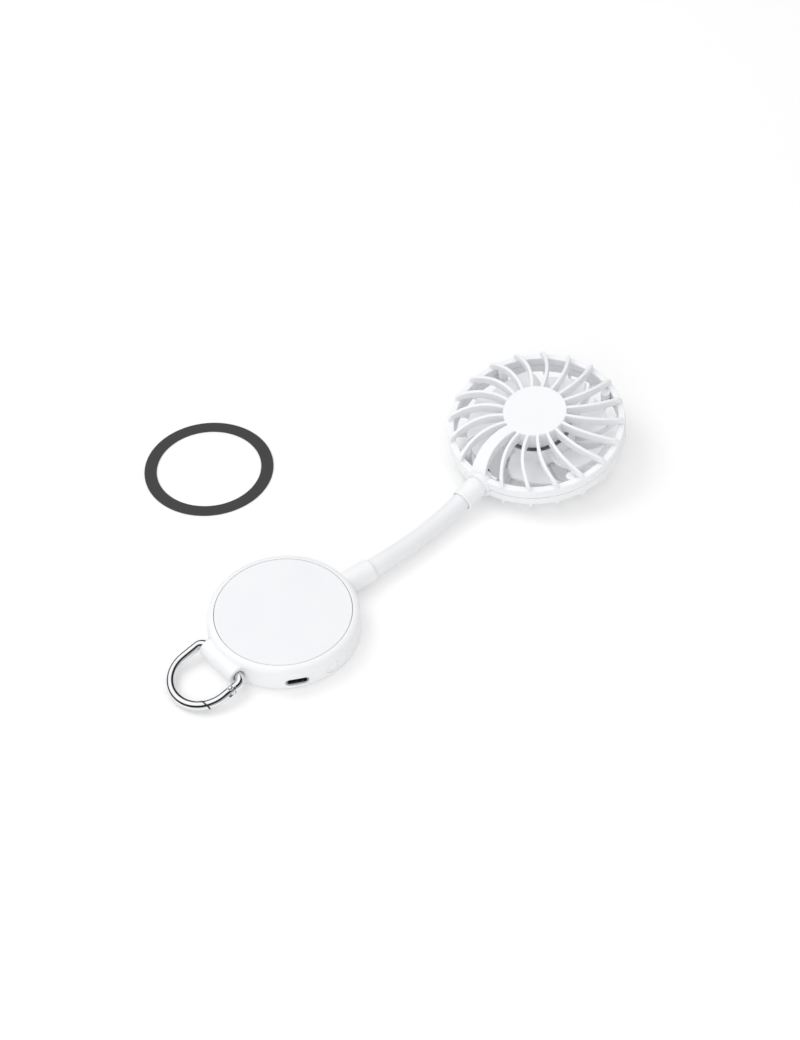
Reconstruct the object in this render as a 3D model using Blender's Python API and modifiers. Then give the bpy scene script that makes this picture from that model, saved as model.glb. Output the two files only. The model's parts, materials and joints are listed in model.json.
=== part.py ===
# A rechargeable fan for the hand or the desk: a round magnetic base with a key-ring
# clip, a bendable neck and a small caged fan head, with its loose mounting ring.
#
# Frame: the origin is the centre of the base's flat underside, +Z is up and +X runs
# out of the base along the neck's collar. Everything lies at rest on the plane z = 0.

import math

import bmesh
import bpy
from mathutils import Matrix, Vector

MM = 0.001

# General clearances and edges
GAP = 0.3 * MM            # between pieces that touch
OVERRUN = 1.0 * MM        # how far a cutter passes a face
SINK = 0.1 * MM           # how far a joined shape reaches into its neighbour
FINE_EDGE = 0.4 * MM      # small rounded or chamfered edge
WELD = 0.001 * MM         # points this near are one point
CROWN_SHARE = 0.7         # of a screw's head that is flat on top

# How finely round shapes are divided
DISC_STEPS = 48
RING_STEPS = 36
BARREL_STEPS = 24
SLEEVE_STEPS = 16
PIN_STEPS = 14
SCREW_STEPS = 12
EDGE_SEGMENTS = 3

# Base: a shallow cup with a panel let into its top
BASE_RADIUS = 30.9 * MM
BASE_WALL = 1.6 * MM
BASE_TOP_ROUND = 2.5 * MM
BASE_FOOT_ROUND = 2.6 * MM
PANEL_MARGIN = 3.3 * MM        # from the panel's edge out to the base's
PANEL_THICKNESS = 1.4 * MM
PANEL_RIB_WIDTH = 1.0 * MM
LEDGE_WIDTH = 1.3 * MM
LEDGE_THICKNESS = 1.1 * MM

# Magnets under the panel and the steel that backs them
MAGNET_WIDTH = 4.0 * MM
MAGNET_THICKNESS = 1.7 * MM
MAGNET_EDGE_GAP = 0.7 * MM
YOKE_THICKNESS = 0.4 * MM

# Battery pouch
BATTERY_SIDE_ROOM = 12.3 * MM  # from the wall, along X
BATTERY_BACK_ROOM = 9.8 * MM   # from the wall, behind it
BATTERY_FRONT_ROOM = 2.0 * MM  # behind the board's straight edge
BATTERY_TOP_ROOM = 0.5 * MM    # under the yoke
BATTERY_EDGE = 1.2 * MM
BATTERY_LEAD_RADIUS = 0.5 * MM
BATTERY_LEAD_PITCH = 3.0 * MM
BATTERY_LEAD_REACH = 4.0 * MM

# Circuit board, its screws and the chips on it
BOARD_THICKNESS = 1.0 * MM
BOARD_EDGE_GAP = 0.7 * MM
BOARD_DEPTH = 16.1 * MM        # from its straight edge to its round one
BOARD_PAD_HEIGHT = 0.2 * MM
BOARD_PAD_RADIUS = 2.2 * MM
BOARD_SCREW_EDGE = 2.9 * MM    # inside the board's round edge
BOARD_SCREW_BACK = 3.0 * MM    # inside its straight edge
BOARD_SCREW_RADIUS = 0.55 * MM
BOARD_SCREW_HEAD_RADIUS = 1.4 * MM
BOARD_SCREW_HEAD = 0.8 * MM
BOARD_SCREW_BITE = 0.9 * MM
CHIP_SIDE = 4.0 * MM
CHIP_HEIGHT = 0.9 * MM
CHIP_BACK = 4.0 * MM           # inside the board's straight edge
CHIP_START = 3.92 * MM
CHIP_PITCH = 7.84 * MM

# Charging socket in the side wall
SOCKET_BEARING = -116.0        # degrees round the base from the neck
SOCKET_WIDTH = 8.94 * MM
SOCKET_HEIGHT = 3.16 * MM
SOCKET_HEAD_ROOM = 1.84 * MM   # up to the yoke
SOCKET_LENGTH = 7.3 * MM
SOCKET_SKIN = 0.35 * MM
SOCKET_RECESS = 0.8 * MM
SOCKET_TONGUE_WIDTH = 6.6 * MM
SOCKET_TONGUE_THICKNESS = 0.7 * MM
SOCKET_TONGUE_BASE = 1.8 * MM
SOCKET_TONGUE_INSET = 1.2 * MM

# Power button and the switch that it presses
BUTTON_BEARING = -88.0
BUTTON_RADIUS = 2.75 * MM
BUTTON_FLANGE = 0.75 * MM
BUTTON_FLANGE_THICKNESS = 0.9 * MM
BUTTON_STEM_RADIUS = 1.3 * MM
BUTTON_STEM = 0.9 * MM
BUTTON_SINK = 0.1 * MM         # cap below the wall's outermost line
BUTTON_TRAVEL = 0.3 * MM
SWITCH_WIDTH = 6.0 * MM
SWITCH_DEPTH = 3.6 * MM
SWITCH_CROWN = 1.2 * MM        # above the plunger's axis
PLUNGER_RADIUS = 0.9 * MM
PLUNGER_SHOW = 1.3 * MM
PLUNGER_INSIDE = 0.7 * MM

# Clip tube moulded on the base, opposite the neck
CLIP_AXIS_OUT = 0.1 * MM       # tube's axis outside the base's wall
CLIP_BEARING = 2.8             # degrees that it is turned round the base
CLIP_TUBE_RADIUS = 4.0 * MM
CLIP_TUBE_ROOM = 0.2 * MM      # from the tube's end to the wire's bend
CLIP_BORE_OVERRUN = 2.5 * MM   # far enough to leave the curved wall

# Key-ring clip, bent from round wire
WIRE_RADIUS = 2.0 * MM
CLIP_HALF_WIDTH = 13.2 * MM
CLIP_CORNER = 3.0 * MM
CLIP_STRAIGHT = 9.9 * MM       # from the tube's axis to the bow's centre
CLIP_NOSE = 17.5 * MM          # where gate and nose meet, from the tube's axis
CLIP_SLIT = 0.4 * MM
HINGE_REACH = 6.0 * MM         # rivet, from the tube's axis
HINGE_BACK = 2.4 * MM          # end of the round wire behind the rivet
TANG_THICKNESS = 1.4 * MM
TANG_RADIUS = 1.9 * MM
TANG_HALF_WIDTH = 1.6 * MM
FORK_HEIGHT = 3.4 * MM
FORK_DEPTH = 2.6 * MM
RIVET_RADIUS = 0.6 * MM
RIVET_HEAD_RADIUS = 1.1 * MM
RIVET_HEAD = 0.35 * MM
WIRE_SIDES = 3                 # bevel resolution, which gives 10 sides
ARC_STEP = math.radians(13)
SPRING_RADIUS = 0.75 * MM
SPRING_WIRE = 0.14 * MM
SPRING_LENGTH = 2.4 * MM
SPRING_TURNS = 4
NOSE_OVERLAP = 6.0             # degrees of wire past the slit, cut off there
GATE_OVERLAP = 8.0

# Neck: collars, sleeve, core and leads
COLLAR_RADIUS = 5.0 * MM
COLLAR_LENGTH = 12.7 * MM
COLLAR_ROUND = 0.8 * MM
NECK_RADIUS = 4.0 * MM
NECK_SPAN = 52.4 * MM          # between the collars, along X
NECK_DRIFT = 5.4 * MM          # sideways at the head's collar
NECK_JOINTS = 6
NECK_FIRST_JOINT = 1.2 * MM    # past the base collar
NECK_LAST_JOINT = 3.5 * MM     # before the head collar
NECK_BORE_RADIUS = 2.1 * MM
SOCKET_LIP = 2.5 * MM          # from a joint's centre to the lip of its cup
BALL_SEGMENTS = 3
CORE_RADIUS = 0.8 * MM
LEAD_RADIUS = 0.4 * MM
LEAD_SPREAD = 1.35 * MM
LEAD_PAD_SIDE = 4.5 * MM       # where the leads start, inside the board's screw
LEAD_PAD_BACK = 1.4 * MM       # and inside the board's straight edge
LEAD_TURN_SIDE = 5.0 * MM      # where they pass the battery's corner, outside its side
LEAD_TURN_FRONT = 4.0 * MM     # and past the board's straight edge
ANCHOR_WIDTH = 12.0 * MM
ANCHOR_LEDGE_GAP = 0.25 * MM
ANCHOR_THICKNESS = 1.9 * MM
ANCHOR_PLAY = 0.7 * MM         # collar root past the inside of the wall
CORE_TAIL = 1.0 * MM
NECK_SAMPLES = 240

# Fan head
HEAD_TILT = 8.3                # degrees, the far side up
HEAD_BEARING = 9.5             # degrees from +X
RIM_RADIUS = 38.1 * MM
RIM_WIDTH = 2.8 * MM
RIM_HEIGHT = 8.8 * MM
RIM_STEP = 0.25 * MM
RIM_STEP_DROP = 2.2 * MM
RIM_PARTING = 0.2 * MM         # above the middle
HEAD_COLLAR_RADIUS = 4.9 * MM
HEAD_COLLAR_LENGTH = 11.4 * MM  # outside the rim
HEAD_COLLAR_FLANGE_HALF = 6.3 * MM
HEAD_COLLAR_FLANGE_HEIGHT = 7.0 * MM
HEAD_COLLAR_FLANGE = 1.5 * MM
HEAD_COLLAR_FLANGE_GAP = 1.0 * MM
COLLAR_BOSS_RADIUS = 6.3 * MM
COLLAR_BOSS_OUT = 1.0 * MM
HUB_MOTOR_ROOM = 0.8 * MM      # between the motor's socket and the skirt
HUB_RISE = 7.4 * MM            # above the rim
HUB_SKIN = 1.6 * MM
HUB_SKIRT = 5.0 * MM            # the rear one
HUB_SKIRT_ROOM = 1.0 * MM      # from the front one down to the impeller
HUB_SKIRT_WALL = 1.4 * MM
RIB_COUNT = 20
RIB_STATIONS = 5
RIB_THICKNESS = 1.5 * MM
RIB_DEPTH_HUB = 4.8 * MM
RIB_DEPTH_RIM = 3.0 * MM
RIB_TIP_RISE = 2.4 * MM
RIB_CROWN = 1.6 * MM
RIB_SWEEP = 8.9                # degrees from hub to rim
RIB_BOW = 2.4 * MM
RIB_END_ROUND = 2.0 * MM
RIB_TIP_DROP = 2.1 * MM
WIDE_RIB_HUB = 4.8 * MM
WIDE_RIB_RIM = 6.4 * MM
CHANNEL_WIDTH = 3.0 * MM
CHANNEL_DEPTH = 2.4 * MM
CHANNEL_START_SHARE = 0.8      # of the way from hub to rim
LEAD_MOUTH_SHARE = 0.74
LEAD_END_SHARE = -0.1
LEAD_STATIONS = 6
LEAD_APART = 0.6 * MM          # from the channel's middle line
LEAD_ROOM = 0.5 * MM           # under the channel's ceiling
POST_COUNT = 4
POST_BEARING = 66.0
POST_RADIUS = 2.1 * MM
HEAD_SCREW_RADIUS = 0.6 * MM
HEAD_SCREW_HEAD_RADIUS = 1.2 * MM
HEAD_SCREW_HEAD = 0.9 * MM
HEAD_SCREW_SUNK = 0.2 * MM
HEAD_SCREW_BITE = 2.6 * MM

# Motor, hung from the front hub
MOTOR_RADIUS = 10.0 * MM
MOTOR_LENGTH = 11.2 * MM
MOTOR_CAP = 0.9 * MM
MOTOR_SKIN = 0.6 * MM
MOTOR_SOCKET_WALL = 1.2 * MM
MOTOR_SOCKET_DEPTH = 3.0 * MM
MAGNET_SLEEVE = 1.5 * MM
SHAFT_RADIUS = 1.0 * MM
BUSH_RADIUS = 2.5 * MM
BUSH_LENGTH = 2.0 * MM
SHAFT_RUNNING_GAP = 0.2 * MM
ARMATURE_AIR_GAP = 0.8 * MM    # to the ring magnet
ARMATURE_LENGTH = 5.6 * MM
ARMATURE_SLOTS = 3
ARMATURE_SLOT = 1.6 * MM
COMMUTATOR_RADIUS = 2.6 * MM
COMMUTATOR_LENGTH = 1.6 * MM

# Impeller
CUP_RADIUS = 16.5 * MM
CUP_WALL = 1.3 * MM
CUP_TOP = 3.0 * MM             # above the head's middle
CUP_HEIGHT = 9.0 * MM
CUP_BOSS_RADIUS = 3.0 * MM
CUP_BOSS_HEIGHT = 1.8 * MM
BLADE_COUNT = 7
BLADE_TIP_GAP = 0.8 * MM       # inside the screw posts
BLADE_GRID = 4
BLADE_THICKNESS = 1.0 * MM
BLADE_ROOT_TOP = 1.4 * MM
BLADE_ROOT_HEIGHT = 6.8 * MM
BLADE_TIP_TOP = 2.4 * MM
BLADE_TIP_HEIGHT = 5.4 * MM
BLADE_WRAP = 40.0              # degrees of arc that a blade covers
BLADE_SWEEP = 14.0
BLADE_CAMBER = 0.7 * MM

# Loose mounting ring
RING_RADIUS = 28.0 * MM
RING_WIDTH = 5.3 * MM
RING_THICKNESS = 0.6 * MM
RING_X = 27.7 * MM
RING_Y = 95.0 * MM

# Places worked out from the sizes above. The base is as high as what it holds
BOARD_BOTTOM = BASE_WALL + BOARD_PAD_HEIGHT + GAP
BOARD_TOP = BOARD_BOTTOM + BOARD_THICKNESS
SOCKET_MIDDLE = BOARD_TOP + GAP + SOCKET_HEIGHT / 2
YOKE_BOTTOM = SOCKET_MIDDLE + SOCKET_HEIGHT / 2 + SOCKET_HEAD_ROOM
YOKE_TOP = YOKE_BOTTOM + YOKE_THICKNESS
MAGNET_BOTTOM = YOKE_TOP + GAP
MAGNET_TOP = MAGNET_BOTTOM + MAGNET_THICKNESS
BASE_HEIGHT = MAGNET_TOP + GAP + PANEL_THICKNESS
PANEL_RADIUS = BASE_RADIUS - PANEL_MARGIN
PANEL_BOTTOM = BASE_HEIGHT - PANEL_THICKNESS
LEDGE_TOP = PANEL_BOTTOM - GAP
LEDGE_BOTTOM = LEDGE_TOP - LEDGE_THICKNESS
LIP_RADIUS = PANEL_RADIUS + GAP
LEDGE_RADIUS = LIP_RADIUS - LEDGE_WIDTH
INNER_RADIUS = BASE_RADIUS - BASE_WALL
MAGNET_OUTER = LEDGE_RADIUS - MAGNET_EDGE_GAP
MAGNET_INNER = MAGNET_OUTER - MAGNET_WIDTH
MID_HEIGHT = BASE_HEIGHT / 2
BOARD_RADIUS = INNER_RADIUS - BOARD_EDGE_GAP
BOARD_FRONT = BOARD_RADIUS - BOARD_DEPTH
BOARD_SCREW_Y = BOARD_FRONT + BOARD_SCREW_BACK
BOARD_SCREW_X = math.sqrt((BOARD_RADIUS - BOARD_SCREW_EDGE) ** 2 - BOARD_SCREW_Y ** 2)
BATTERY_HALF_LENGTH = INNER_RADIUS - BATTERY_SIDE_ROOM
BATTERY_BACK = INNER_RADIUS - BATTERY_BACK_ROOM
BATTERY_FRONT = BATTERY_FRONT_ROOM - BOARD_FRONT
BATTERY_TOP = YOKE_BOTTOM - BATTERY_TOP_ROOM
BUTTON_HEIGHT = LEDGE_BOTTOM - GAP - BUTTON_FLANGE - BUTTON_RADIUS
COLLAR_END = BASE_RADIUS + COLLAR_LENGTH
COLLAR_ROOT = INNER_RADIUS - ANCHOR_PLAY
SLEEVE_BORE = NECK_RADIUS + GAP
CLIP_AXIS = BASE_RADIUS + CLIP_AXIS_OUT
CLIP_TUBE_LENGTH = 2 * (CLIP_HALF_WIDTH - CLIP_CORNER - CLIP_TUBE_ROOM)
CLIP_DROP = math.asin((MID_HEIGHT - WIRE_RADIUS) / (CLIP_STRAIGHT + CLIP_HALF_WIDTH))
RIM_TOP = RIM_HEIGHT / 2
RIM_INNER = RIM_RADIUS - RIM_WIDTH
HEAD_COLLAR_REACH = RIM_RADIUS + HEAD_COLLAR_LENGTH
HUB_TOP = RIM_TOP + HUB_RISE
HUB_RADIUS = MOTOR_RADIUS + GAP + MOTOR_SOCKET_WALL + HUB_MOTOR_ROOM + HUB_SKIRT_WALL
POST_CIRCLE = RIM_INNER - POST_RADIUS + SINK
BLADE_TIP_RADIUS = POST_CIRCLE - POST_RADIUS - BLADE_TIP_GAP
MOTOR_TOP = HUB_TOP - HUB_SKIN - GAP
MOTOR_BOTTOM = MOTOR_TOP - MOTOR_CAP - GAP - MOTOR_LENGTH
ARMATURE_RADIUS = MOTOR_RADIUS - MOTOR_SKIN - GAP - MAGNET_SLEEVE - ARMATURE_AIR_GAP
CUP_BOTTOM = CUP_TOP - CUP_HEIGHT
WIDE_RIB_ANGLE = 180.0 - RIB_SWEEP


def clear_scene():
    """Empty the startup scene."""
    for old in list(bpy.data.objects):
        bpy.data.objects.remove(old, do_unlink=True)


clear_scene()
PARTS = bpy.data.collections.new("handheld_fan")
CUTTERS = bpy.data.collections.new("cutters")
bpy.context.scene.collection.children.link(PARTS)
bpy.context.scene.collection.children.link(CUTTERS)


def finish(name, colour, roughness, metallic=0.0):
    """A material with the piece's colour, roughness and metallic value."""
    made = bpy.data.materials.new(name)
    made.use_nodes = True
    shader = made.node_tree.nodes["Principled BSDF"]
    shader.inputs["Base Color"].default_value = (*colour, 1.0)
    shader.inputs["Roughness"].default_value = roughness
    shader.inputs["Metallic"].default_value = metallic
    return made


# Looks: a colour, a roughness and, for a metal, a metallic value
WHITE_PLASTIC = ((0.86, 0.87, 0.90), 0.42)
WHITE_PANEL = ((0.86, 0.87, 0.90), 0.38)
SILICONE = ((0.88, 0.88, 0.90), 0.5)
CHROME = ((0.80, 0.80, 0.82), 0.08, 1.0)
STEEL = ((0.55, 0.56, 0.58), 0.35, 1.0)
MOTOR_STEEL = ((0.2, 0.2, 0.21), 0.4, 1.0)
NICKEL = ((0.6, 0.6, 0.62), 0.3, 1.0)
BRASS = ((0.62, 0.45, 0.2), 0.35, 1.0)
COPPER = ((0.5, 0.25, 0.12), 0.4, 1.0)
FOIL = ((0.45, 0.46, 0.48), 0.35, 0.8)
FERRITE = ((0.05, 0.05, 0.055), 0.6)
BLACK_PLASTIC = ((0.05, 0.05, 0.055), 0.5)
BLACK_MATT = ((0.06, 0.06, 0.063), 0.65)
RED_COAT = ((0.5, 0.03, 0.02), 0.45)
GREEN_BOARD = ((0.02, 0.12, 0.05), 0.45)


def new_empty(name, local=Matrix.Identity(4), parent=None):
    """An empty on a joint's axis, or the frame of a group of pieces."""
    empty = bpy.data.objects.new(name, None)
    empty.empty_display_size = NECK_RADIUS
    PARTS.objects.link(empty)
    empty.parent = parent
    empty.matrix_basis = local
    return empty


def add_piece(name, mesh, look, parent=None, local=Matrix.Identity(4)):
    """One sub-part: a mesh object with its own material, in its parent's frame."""
    piece = bpy.data.objects.new(name, mesh)
    PARTS.objects.link(piece)
    piece.parent = parent
    piece.matrix_basis = local
    mesh.materials.append(finish(name, *look))
    return piece


def add_helper(name, mesh, parent=None, local=Matrix.Identity(4)):
    """A shape that is joined to a piece or cut from it."""
    helper = bpy.data.objects.new(name, mesh)
    CUTTERS.objects.link(helper)
    helper.parent = parent
    helper.matrix_basis = local
    helper.hide_render = True
    helper.display_type = "WIRE"
    return helper


def boolean(piece, helper, operation):
    """Join (UNION) or cut (DIFFERENCE) a helper's shape."""
    step = piece.modifiers.new(f"{operation.lower()}_{helper.name}", "BOOLEAN")
    step.object = helper
    step.operation = operation
    step.solver = "EXACT"
    return step


def mesh_of(shape):
    """Turn a bmesh into a mesh with outward faces."""
    bmesh.ops.recalc_face_normals(shape, faces=shape.faces)
    mesh = bpy.data.meshes.new("shape")
    shape.to_mesh(mesh)
    shape.free()
    return mesh


def shade_round(mesh):
    """Smooth shading with the sharp edges kept."""
    mesh.shade_smooth()
    mesh.set_sharp_from_angle(angle=math.radians(35))
    return mesh


def along(axis):
    """A rotation that lays a shape made along +Z on the given axis."""
    return Vector((0, 0, 1)).rotation_difference(Vector(axis)).to_matrix().to_4x4()


def add_cylinder(shape, radius, low, high, steps, at=(0, 0), turn=Matrix.Identity(4)):
    """A capped cylinder from low to high on +Z, then turned."""
    place = Matrix.Translation((at[0], at[1], (low + high) / 2))
    bmesh.ops.create_cone(
        shape, cap_ends=True, segments=steps, radius1=radius, radius2=radius,
        depth=high - low, matrix=turn @ place)


def cylinder(radius, low, high, steps, at=(0, 0), turn=Matrix.Identity(4)):
    shape = bmesh.new()
    add_cylinder(shape, radius, low, high, steps, at, turn)
    return mesh_of(shape)


def add_box(shape, low, high, turn=Matrix.Identity(4)):
    """A box between two corners, then turned."""
    low, high = Vector(low), Vector(high)
    size = Matrix.Diagonal((*(high - low), 1.0))
    bmesh.ops.create_cube(
        shape, size=1.0, matrix=turn @ Matrix.Translation((low + high) / 2) @ size)


def box(low, high, turn=Matrix.Identity(4)):
    shape = bmesh.new()
    add_box(shape, low, high, turn)
    return mesh_of(shape)


def stadium(width, height, low, high, steps, turn=Matrix.Identity(4)):
    """A round-ended bar: a cylinder whose two halves are drawn apart."""
    shape = bmesh.new()
    add_cylinder(shape, height / 2, low, high, steps)
    shift = (width - height) / 2
    for point in shape.verts:
        point.co.x += math.copysign(shift, point.co.x)
    bmesh.ops.transform(shape, matrix=turn, verts=shape.verts)
    return mesh_of(shape)


def turned_mesh(profile, closed):
    """The profile of a turned shape, as a chain of edges in the XZ plane."""
    mesh = bpy.data.meshes.new("profile")
    points = [(radius, 0, height) for radius, height in profile]
    edges = [(i, i + 1) for i in range(len(points) - 1)]
    if closed:
        edges.append((len(points) - 1, 0))
    mesh.from_pydata(points, edges, [])
    return mesh


def spin(obj, steps):
    """Turn a profile about +Z."""
    turn = obj.modifiers.new("turn", "SCREW")
    turn.axis = "Z"
    turn.angle = 2 * math.pi
    turn.screw_offset = 0
    turn.steps = steps
    turn.render_steps = steps
    turn.use_merge_vertices = True
    turn.merge_threshold = WELD
    turn.use_smooth_shade = True
    return turn


def turned(name, profile, steps, look, parent=None, closed=False,
           local=Matrix.Identity(4)):
    """A turned piece. Its profile runs down the outer side."""
    piece = add_piece(name, turned_mesh(profile, closed), look, parent, local)
    spin(piece, steps)
    return piece


def turned_helper(name, profile, steps, parent=None, closed=False,
                  local=Matrix.Identity(4)):
    helper = add_helper(name, turned_mesh(profile, closed), parent, local)
    spin(helper, steps)
    return helper


def arc(centre, radius, start, end, segments):
    """Points of an arc in a plane, from one angle to another in degrees."""
    return [
        (centre[0] + radius * math.cos(math.radians(start + (end - start) * i / segments)),
         centre[1] + radius * math.sin(math.radians(start + (end - start) * i / segments)))
        for i in range(segments + 1)]


def rod_mesh(points, radius, sides):
    """A round rod along a chain of points, as a closed mesh with welded caps."""
    curve = bpy.data.curves.new("rod", "CURVE")
    curve.dimensions = "3D"
    curve.bevel_depth = radius
    curve.bevel_resolution = sides
    curve.use_fill_caps = True
    line = curve.splines.new("POLY")
    line.points.add(len(points) - 1)
    for target, point in zip(line.points, points):
        target.co = (*point, 1.0)
    holder = bpy.data.objects.new("rod", curve)
    CUTTERS.objects.link(holder)
    bpy.context.view_layer.update()
    graph = bpy.context.evaluated_depsgraph_get()
    mesh = bpy.data.meshes.new_from_object(holder.evaluated_get(graph))
    bpy.data.objects.remove(holder, do_unlink=True)
    bpy.data.curves.remove(curve)
    mesh.materials.clear()
    shape = bmesh.new()
    shape.from_mesh(mesh)
    bpy.data.meshes.remove(mesh)
    bmesh.ops.remove_doubles(shape, verts=shape.verts, dist=radius / 100)
    return shade_round(mesh_of(shape))


# Base housing

def base_profile():
    """Inner floor, up the inner wall, over the lip and down the outer side."""
    top = arc((BASE_RADIUS - BASE_TOP_ROUND, BASE_HEIGHT - BASE_TOP_ROUND),
              BASE_TOP_ROUND, 90, 0, EDGE_SEGMENTS)
    foot = arc((BASE_RADIUS - BASE_FOOT_ROUND, BASE_FOOT_ROUND),
               BASE_FOOT_ROUND, 0, -90, EDGE_SEGMENTS)
    inside = [
        (0, BASE_WALL), (INNER_RADIUS, BASE_WALL), (INNER_RADIUS, LEDGE_BOTTOM),
        (LEDGE_RADIUS, LEDGE_BOTTOM), (LEDGE_RADIUS, LEDGE_TOP),
        (LIP_RADIUS, LEDGE_TOP), (LIP_RADIUS, BASE_HEIGHT)]
    return inside + top + foot + [(0, 0)]


def collar_profile():
    """The neck's collar, turned about its own axis from the wall outwards."""
    end = arc((COLLAR_RADIUS - COLLAR_ROUND, COLLAR_END - COLLAR_ROUND),
              COLLAR_ROUND, 90, 0, EDGE_SEGMENTS - 2)
    return [(0, COLLAR_END)] + end + [(COLLAR_RADIUS, COLLAR_ROOT), (0, COLLAR_ROOT)]


def to_bearing(degrees, height):
    """A frame on the base: +Z points outwards at a bearing, X lies level."""
    angle = math.radians(degrees)
    outward = Vector((math.cos(angle), math.sin(angle), 0))
    across = Vector((-math.sin(angle), math.cos(angle), 0))
    up = outward.cross(across)
    frame = Matrix((across, up, outward)).transposed().to_4x4()
    return Matrix.Translation((0, 0, height)) @ frame


def make_base_housing(plastic):
    half_step = Matrix.Rotation(math.pi / DISC_STEPS, 4, "Z")
    housing = turned("base_housing", base_profile(), DISC_STEPS, plastic, local=half_step)
    to_neck = Matrix.Translation((0, 0, MID_HEIGHT)) @ along((1, 0, 0))
    collar = turned_helper("collar_form", collar_profile(), BARREL_STEPS, local=to_neck)
    boolean(housing, collar, "UNION")
    to_clip = clip_tube_frame() @ along((0, 1, 0))
    half = CLIP_TUBE_LENGTH / 2
    end = FINE_EDGE
    tube_profile = [
        (0, half), (CLIP_TUBE_RADIUS - end, half), (CLIP_TUBE_RADIUS, half - end),
        (CLIP_TUBE_RADIUS, end - half), (CLIP_TUBE_RADIUS - end, -half), (0, -half)]
    tube = turned_helper("clip_tube_form", tube_profile, BARREL_STEPS, local=to_clip)
    boolean(housing, tube, "UNION")
    pads = bmesh.new()
    for side in (-1, 1):
        add_cylinder(pads, BOARD_PAD_RADIUS, BASE_WALL - SINK,
                     BASE_WALL + BOARD_PAD_HEIGHT, PIN_STEPS,
                     (side * BOARD_SCREW_X, -BOARD_SCREW_Y))
    boolean(housing, add_helper("board_pads", mesh_of(pads)), "UNION")
    neck_bore = cylinder(SLEEVE_BORE, COLLAR_ROOT - OVERRUN, COLLAR_END + OVERRUN,
                         BARREL_STEPS)
    boolean(housing, add_helper("neck_bore", neck_bore, local=to_neck), "DIFFERENCE")
    reach = half + CLIP_BORE_OVERRUN
    clip_bore = cylinder(WIRE_RADIUS + GAP, -reach, reach, BARREL_STEPS)
    boolean(housing, add_helper("clip_bore", clip_bore, local=to_clip), "DIFFERENCE")
    button_hole = cylinder(BUTTON_RADIUS + GAP, INNER_RADIUS - OVERRUN,
                           BASE_RADIUS + OVERRUN, BARREL_STEPS)
    boolean(housing, add_helper("button_hole", button_hole,
                                local=to_bearing(BUTTON_BEARING, BUTTON_HEIGHT)),
            "DIFFERENCE")
    socket_hole = stadium(SOCKET_WIDTH + 2 * GAP, SOCKET_HEIGHT + 2 * GAP,
                          INNER_RADIUS - 2 * OVERRUN, BASE_RADIUS + OVERRUN, PIN_STEPS)
    boolean(housing, add_helper("socket_hole", socket_hole,
                                local=to_bearing(SOCKET_BEARING, SOCKET_MIDDLE)),
            "DIFFERENCE")
    holes = bmesh.new()
    for side in (-1, 1):
        add_cylinder(holes, BOARD_SCREW_RADIUS + GAP, BASE_WALL - BOARD_SCREW_BITE,
                     BASE_WALL + OVERRUN, SCREW_STEPS,
                     (side * BOARD_SCREW_X, -BOARD_SCREW_Y))
    boolean(housing, add_helper("board_screw_holes", mesh_of(holes)), "DIFFERENCE")
    return housing


def make_panel(plastic):
    """The round panel let into the top, with the rib that centres the magnets."""
    rib_outer = MAGNET_INNER - GAP
    rib_inner = rib_outer - PANEL_RIB_WIDTH
    rib_bottom = MAGNET_BOTTOM
    profile = [
        (0, BASE_HEIGHT), (PANEL_RADIUS - FINE_EDGE, BASE_HEIGHT),
        (PANEL_RADIUS, BASE_HEIGHT - FINE_EDGE), (PANEL_RADIUS, PANEL_BOTTOM),
        (rib_outer, PANEL_BOTTOM), (rib_outer, rib_bottom), (rib_inner, rib_bottom),
        (rib_inner, PANEL_BOTTOM), (0, PANEL_BOTTOM)]
    return turned("face_panel", profile, DISC_STEPS, plastic)


def flat_ring(name, outer, inner, low, high, steps, look):
    """A flat ring with square edges."""
    profile = [(outer, high), (outer, low), (inner, low), (inner, high)]
    return turned(name, profile, steps, look, closed=True)


def make_magnets(magnet, steel):
    flat_ring("magnet_ring", MAGNET_OUTER, MAGNET_INNER, MAGNET_BOTTOM, MAGNET_TOP,
              RING_STEPS, magnet)
    flat_ring("magnet_yoke", MAGNET_OUTER, MAGNET_INNER, YOKE_BOTTOM, YOKE_TOP,
              RING_STEPS, steel)


def make_battery(foil, red, black):
    """A pouch cell on the floor, and its two leads down to the board."""
    bottom = BASE_WALL + GAP
    cell = add_piece("battery", box(
        (-BATTERY_HALF_LENGTH, BATTERY_FRONT, bottom),
        (BATTERY_HALF_LENGTH, BATTERY_BACK, BATTERY_TOP)), foil)
    soften = cell.modifiers.new("edges", "BEVEL")
    soften.width = BATTERY_EDGE
    soften.segments = 2
    front = BATTERY_FRONT
    start = (bottom + BATTERY_TOP) / 2
    rest = BOARD_TOP + GAP + BATTERY_LEAD_RADIUS
    for side, name, coat in ((0, "battery_lead_red", red), (1, "battery_lead_black", black)):
        x = BATTERY_LEAD_PITCH * (side - 1)
        run = BATTERY_LEAD_REACH
        route = [
            (x, front - GAP, start), (x, front - GAP - run / 4, start),
            (x, front - GAP - run / 2, (start + rest) / 2),
            (x, front - GAP - run * 3 / 4, rest), (x, front - GAP - run, rest)]
        add_piece(name, rod_mesh(route, BATTERY_LEAD_RADIUS, 2), coat)


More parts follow.
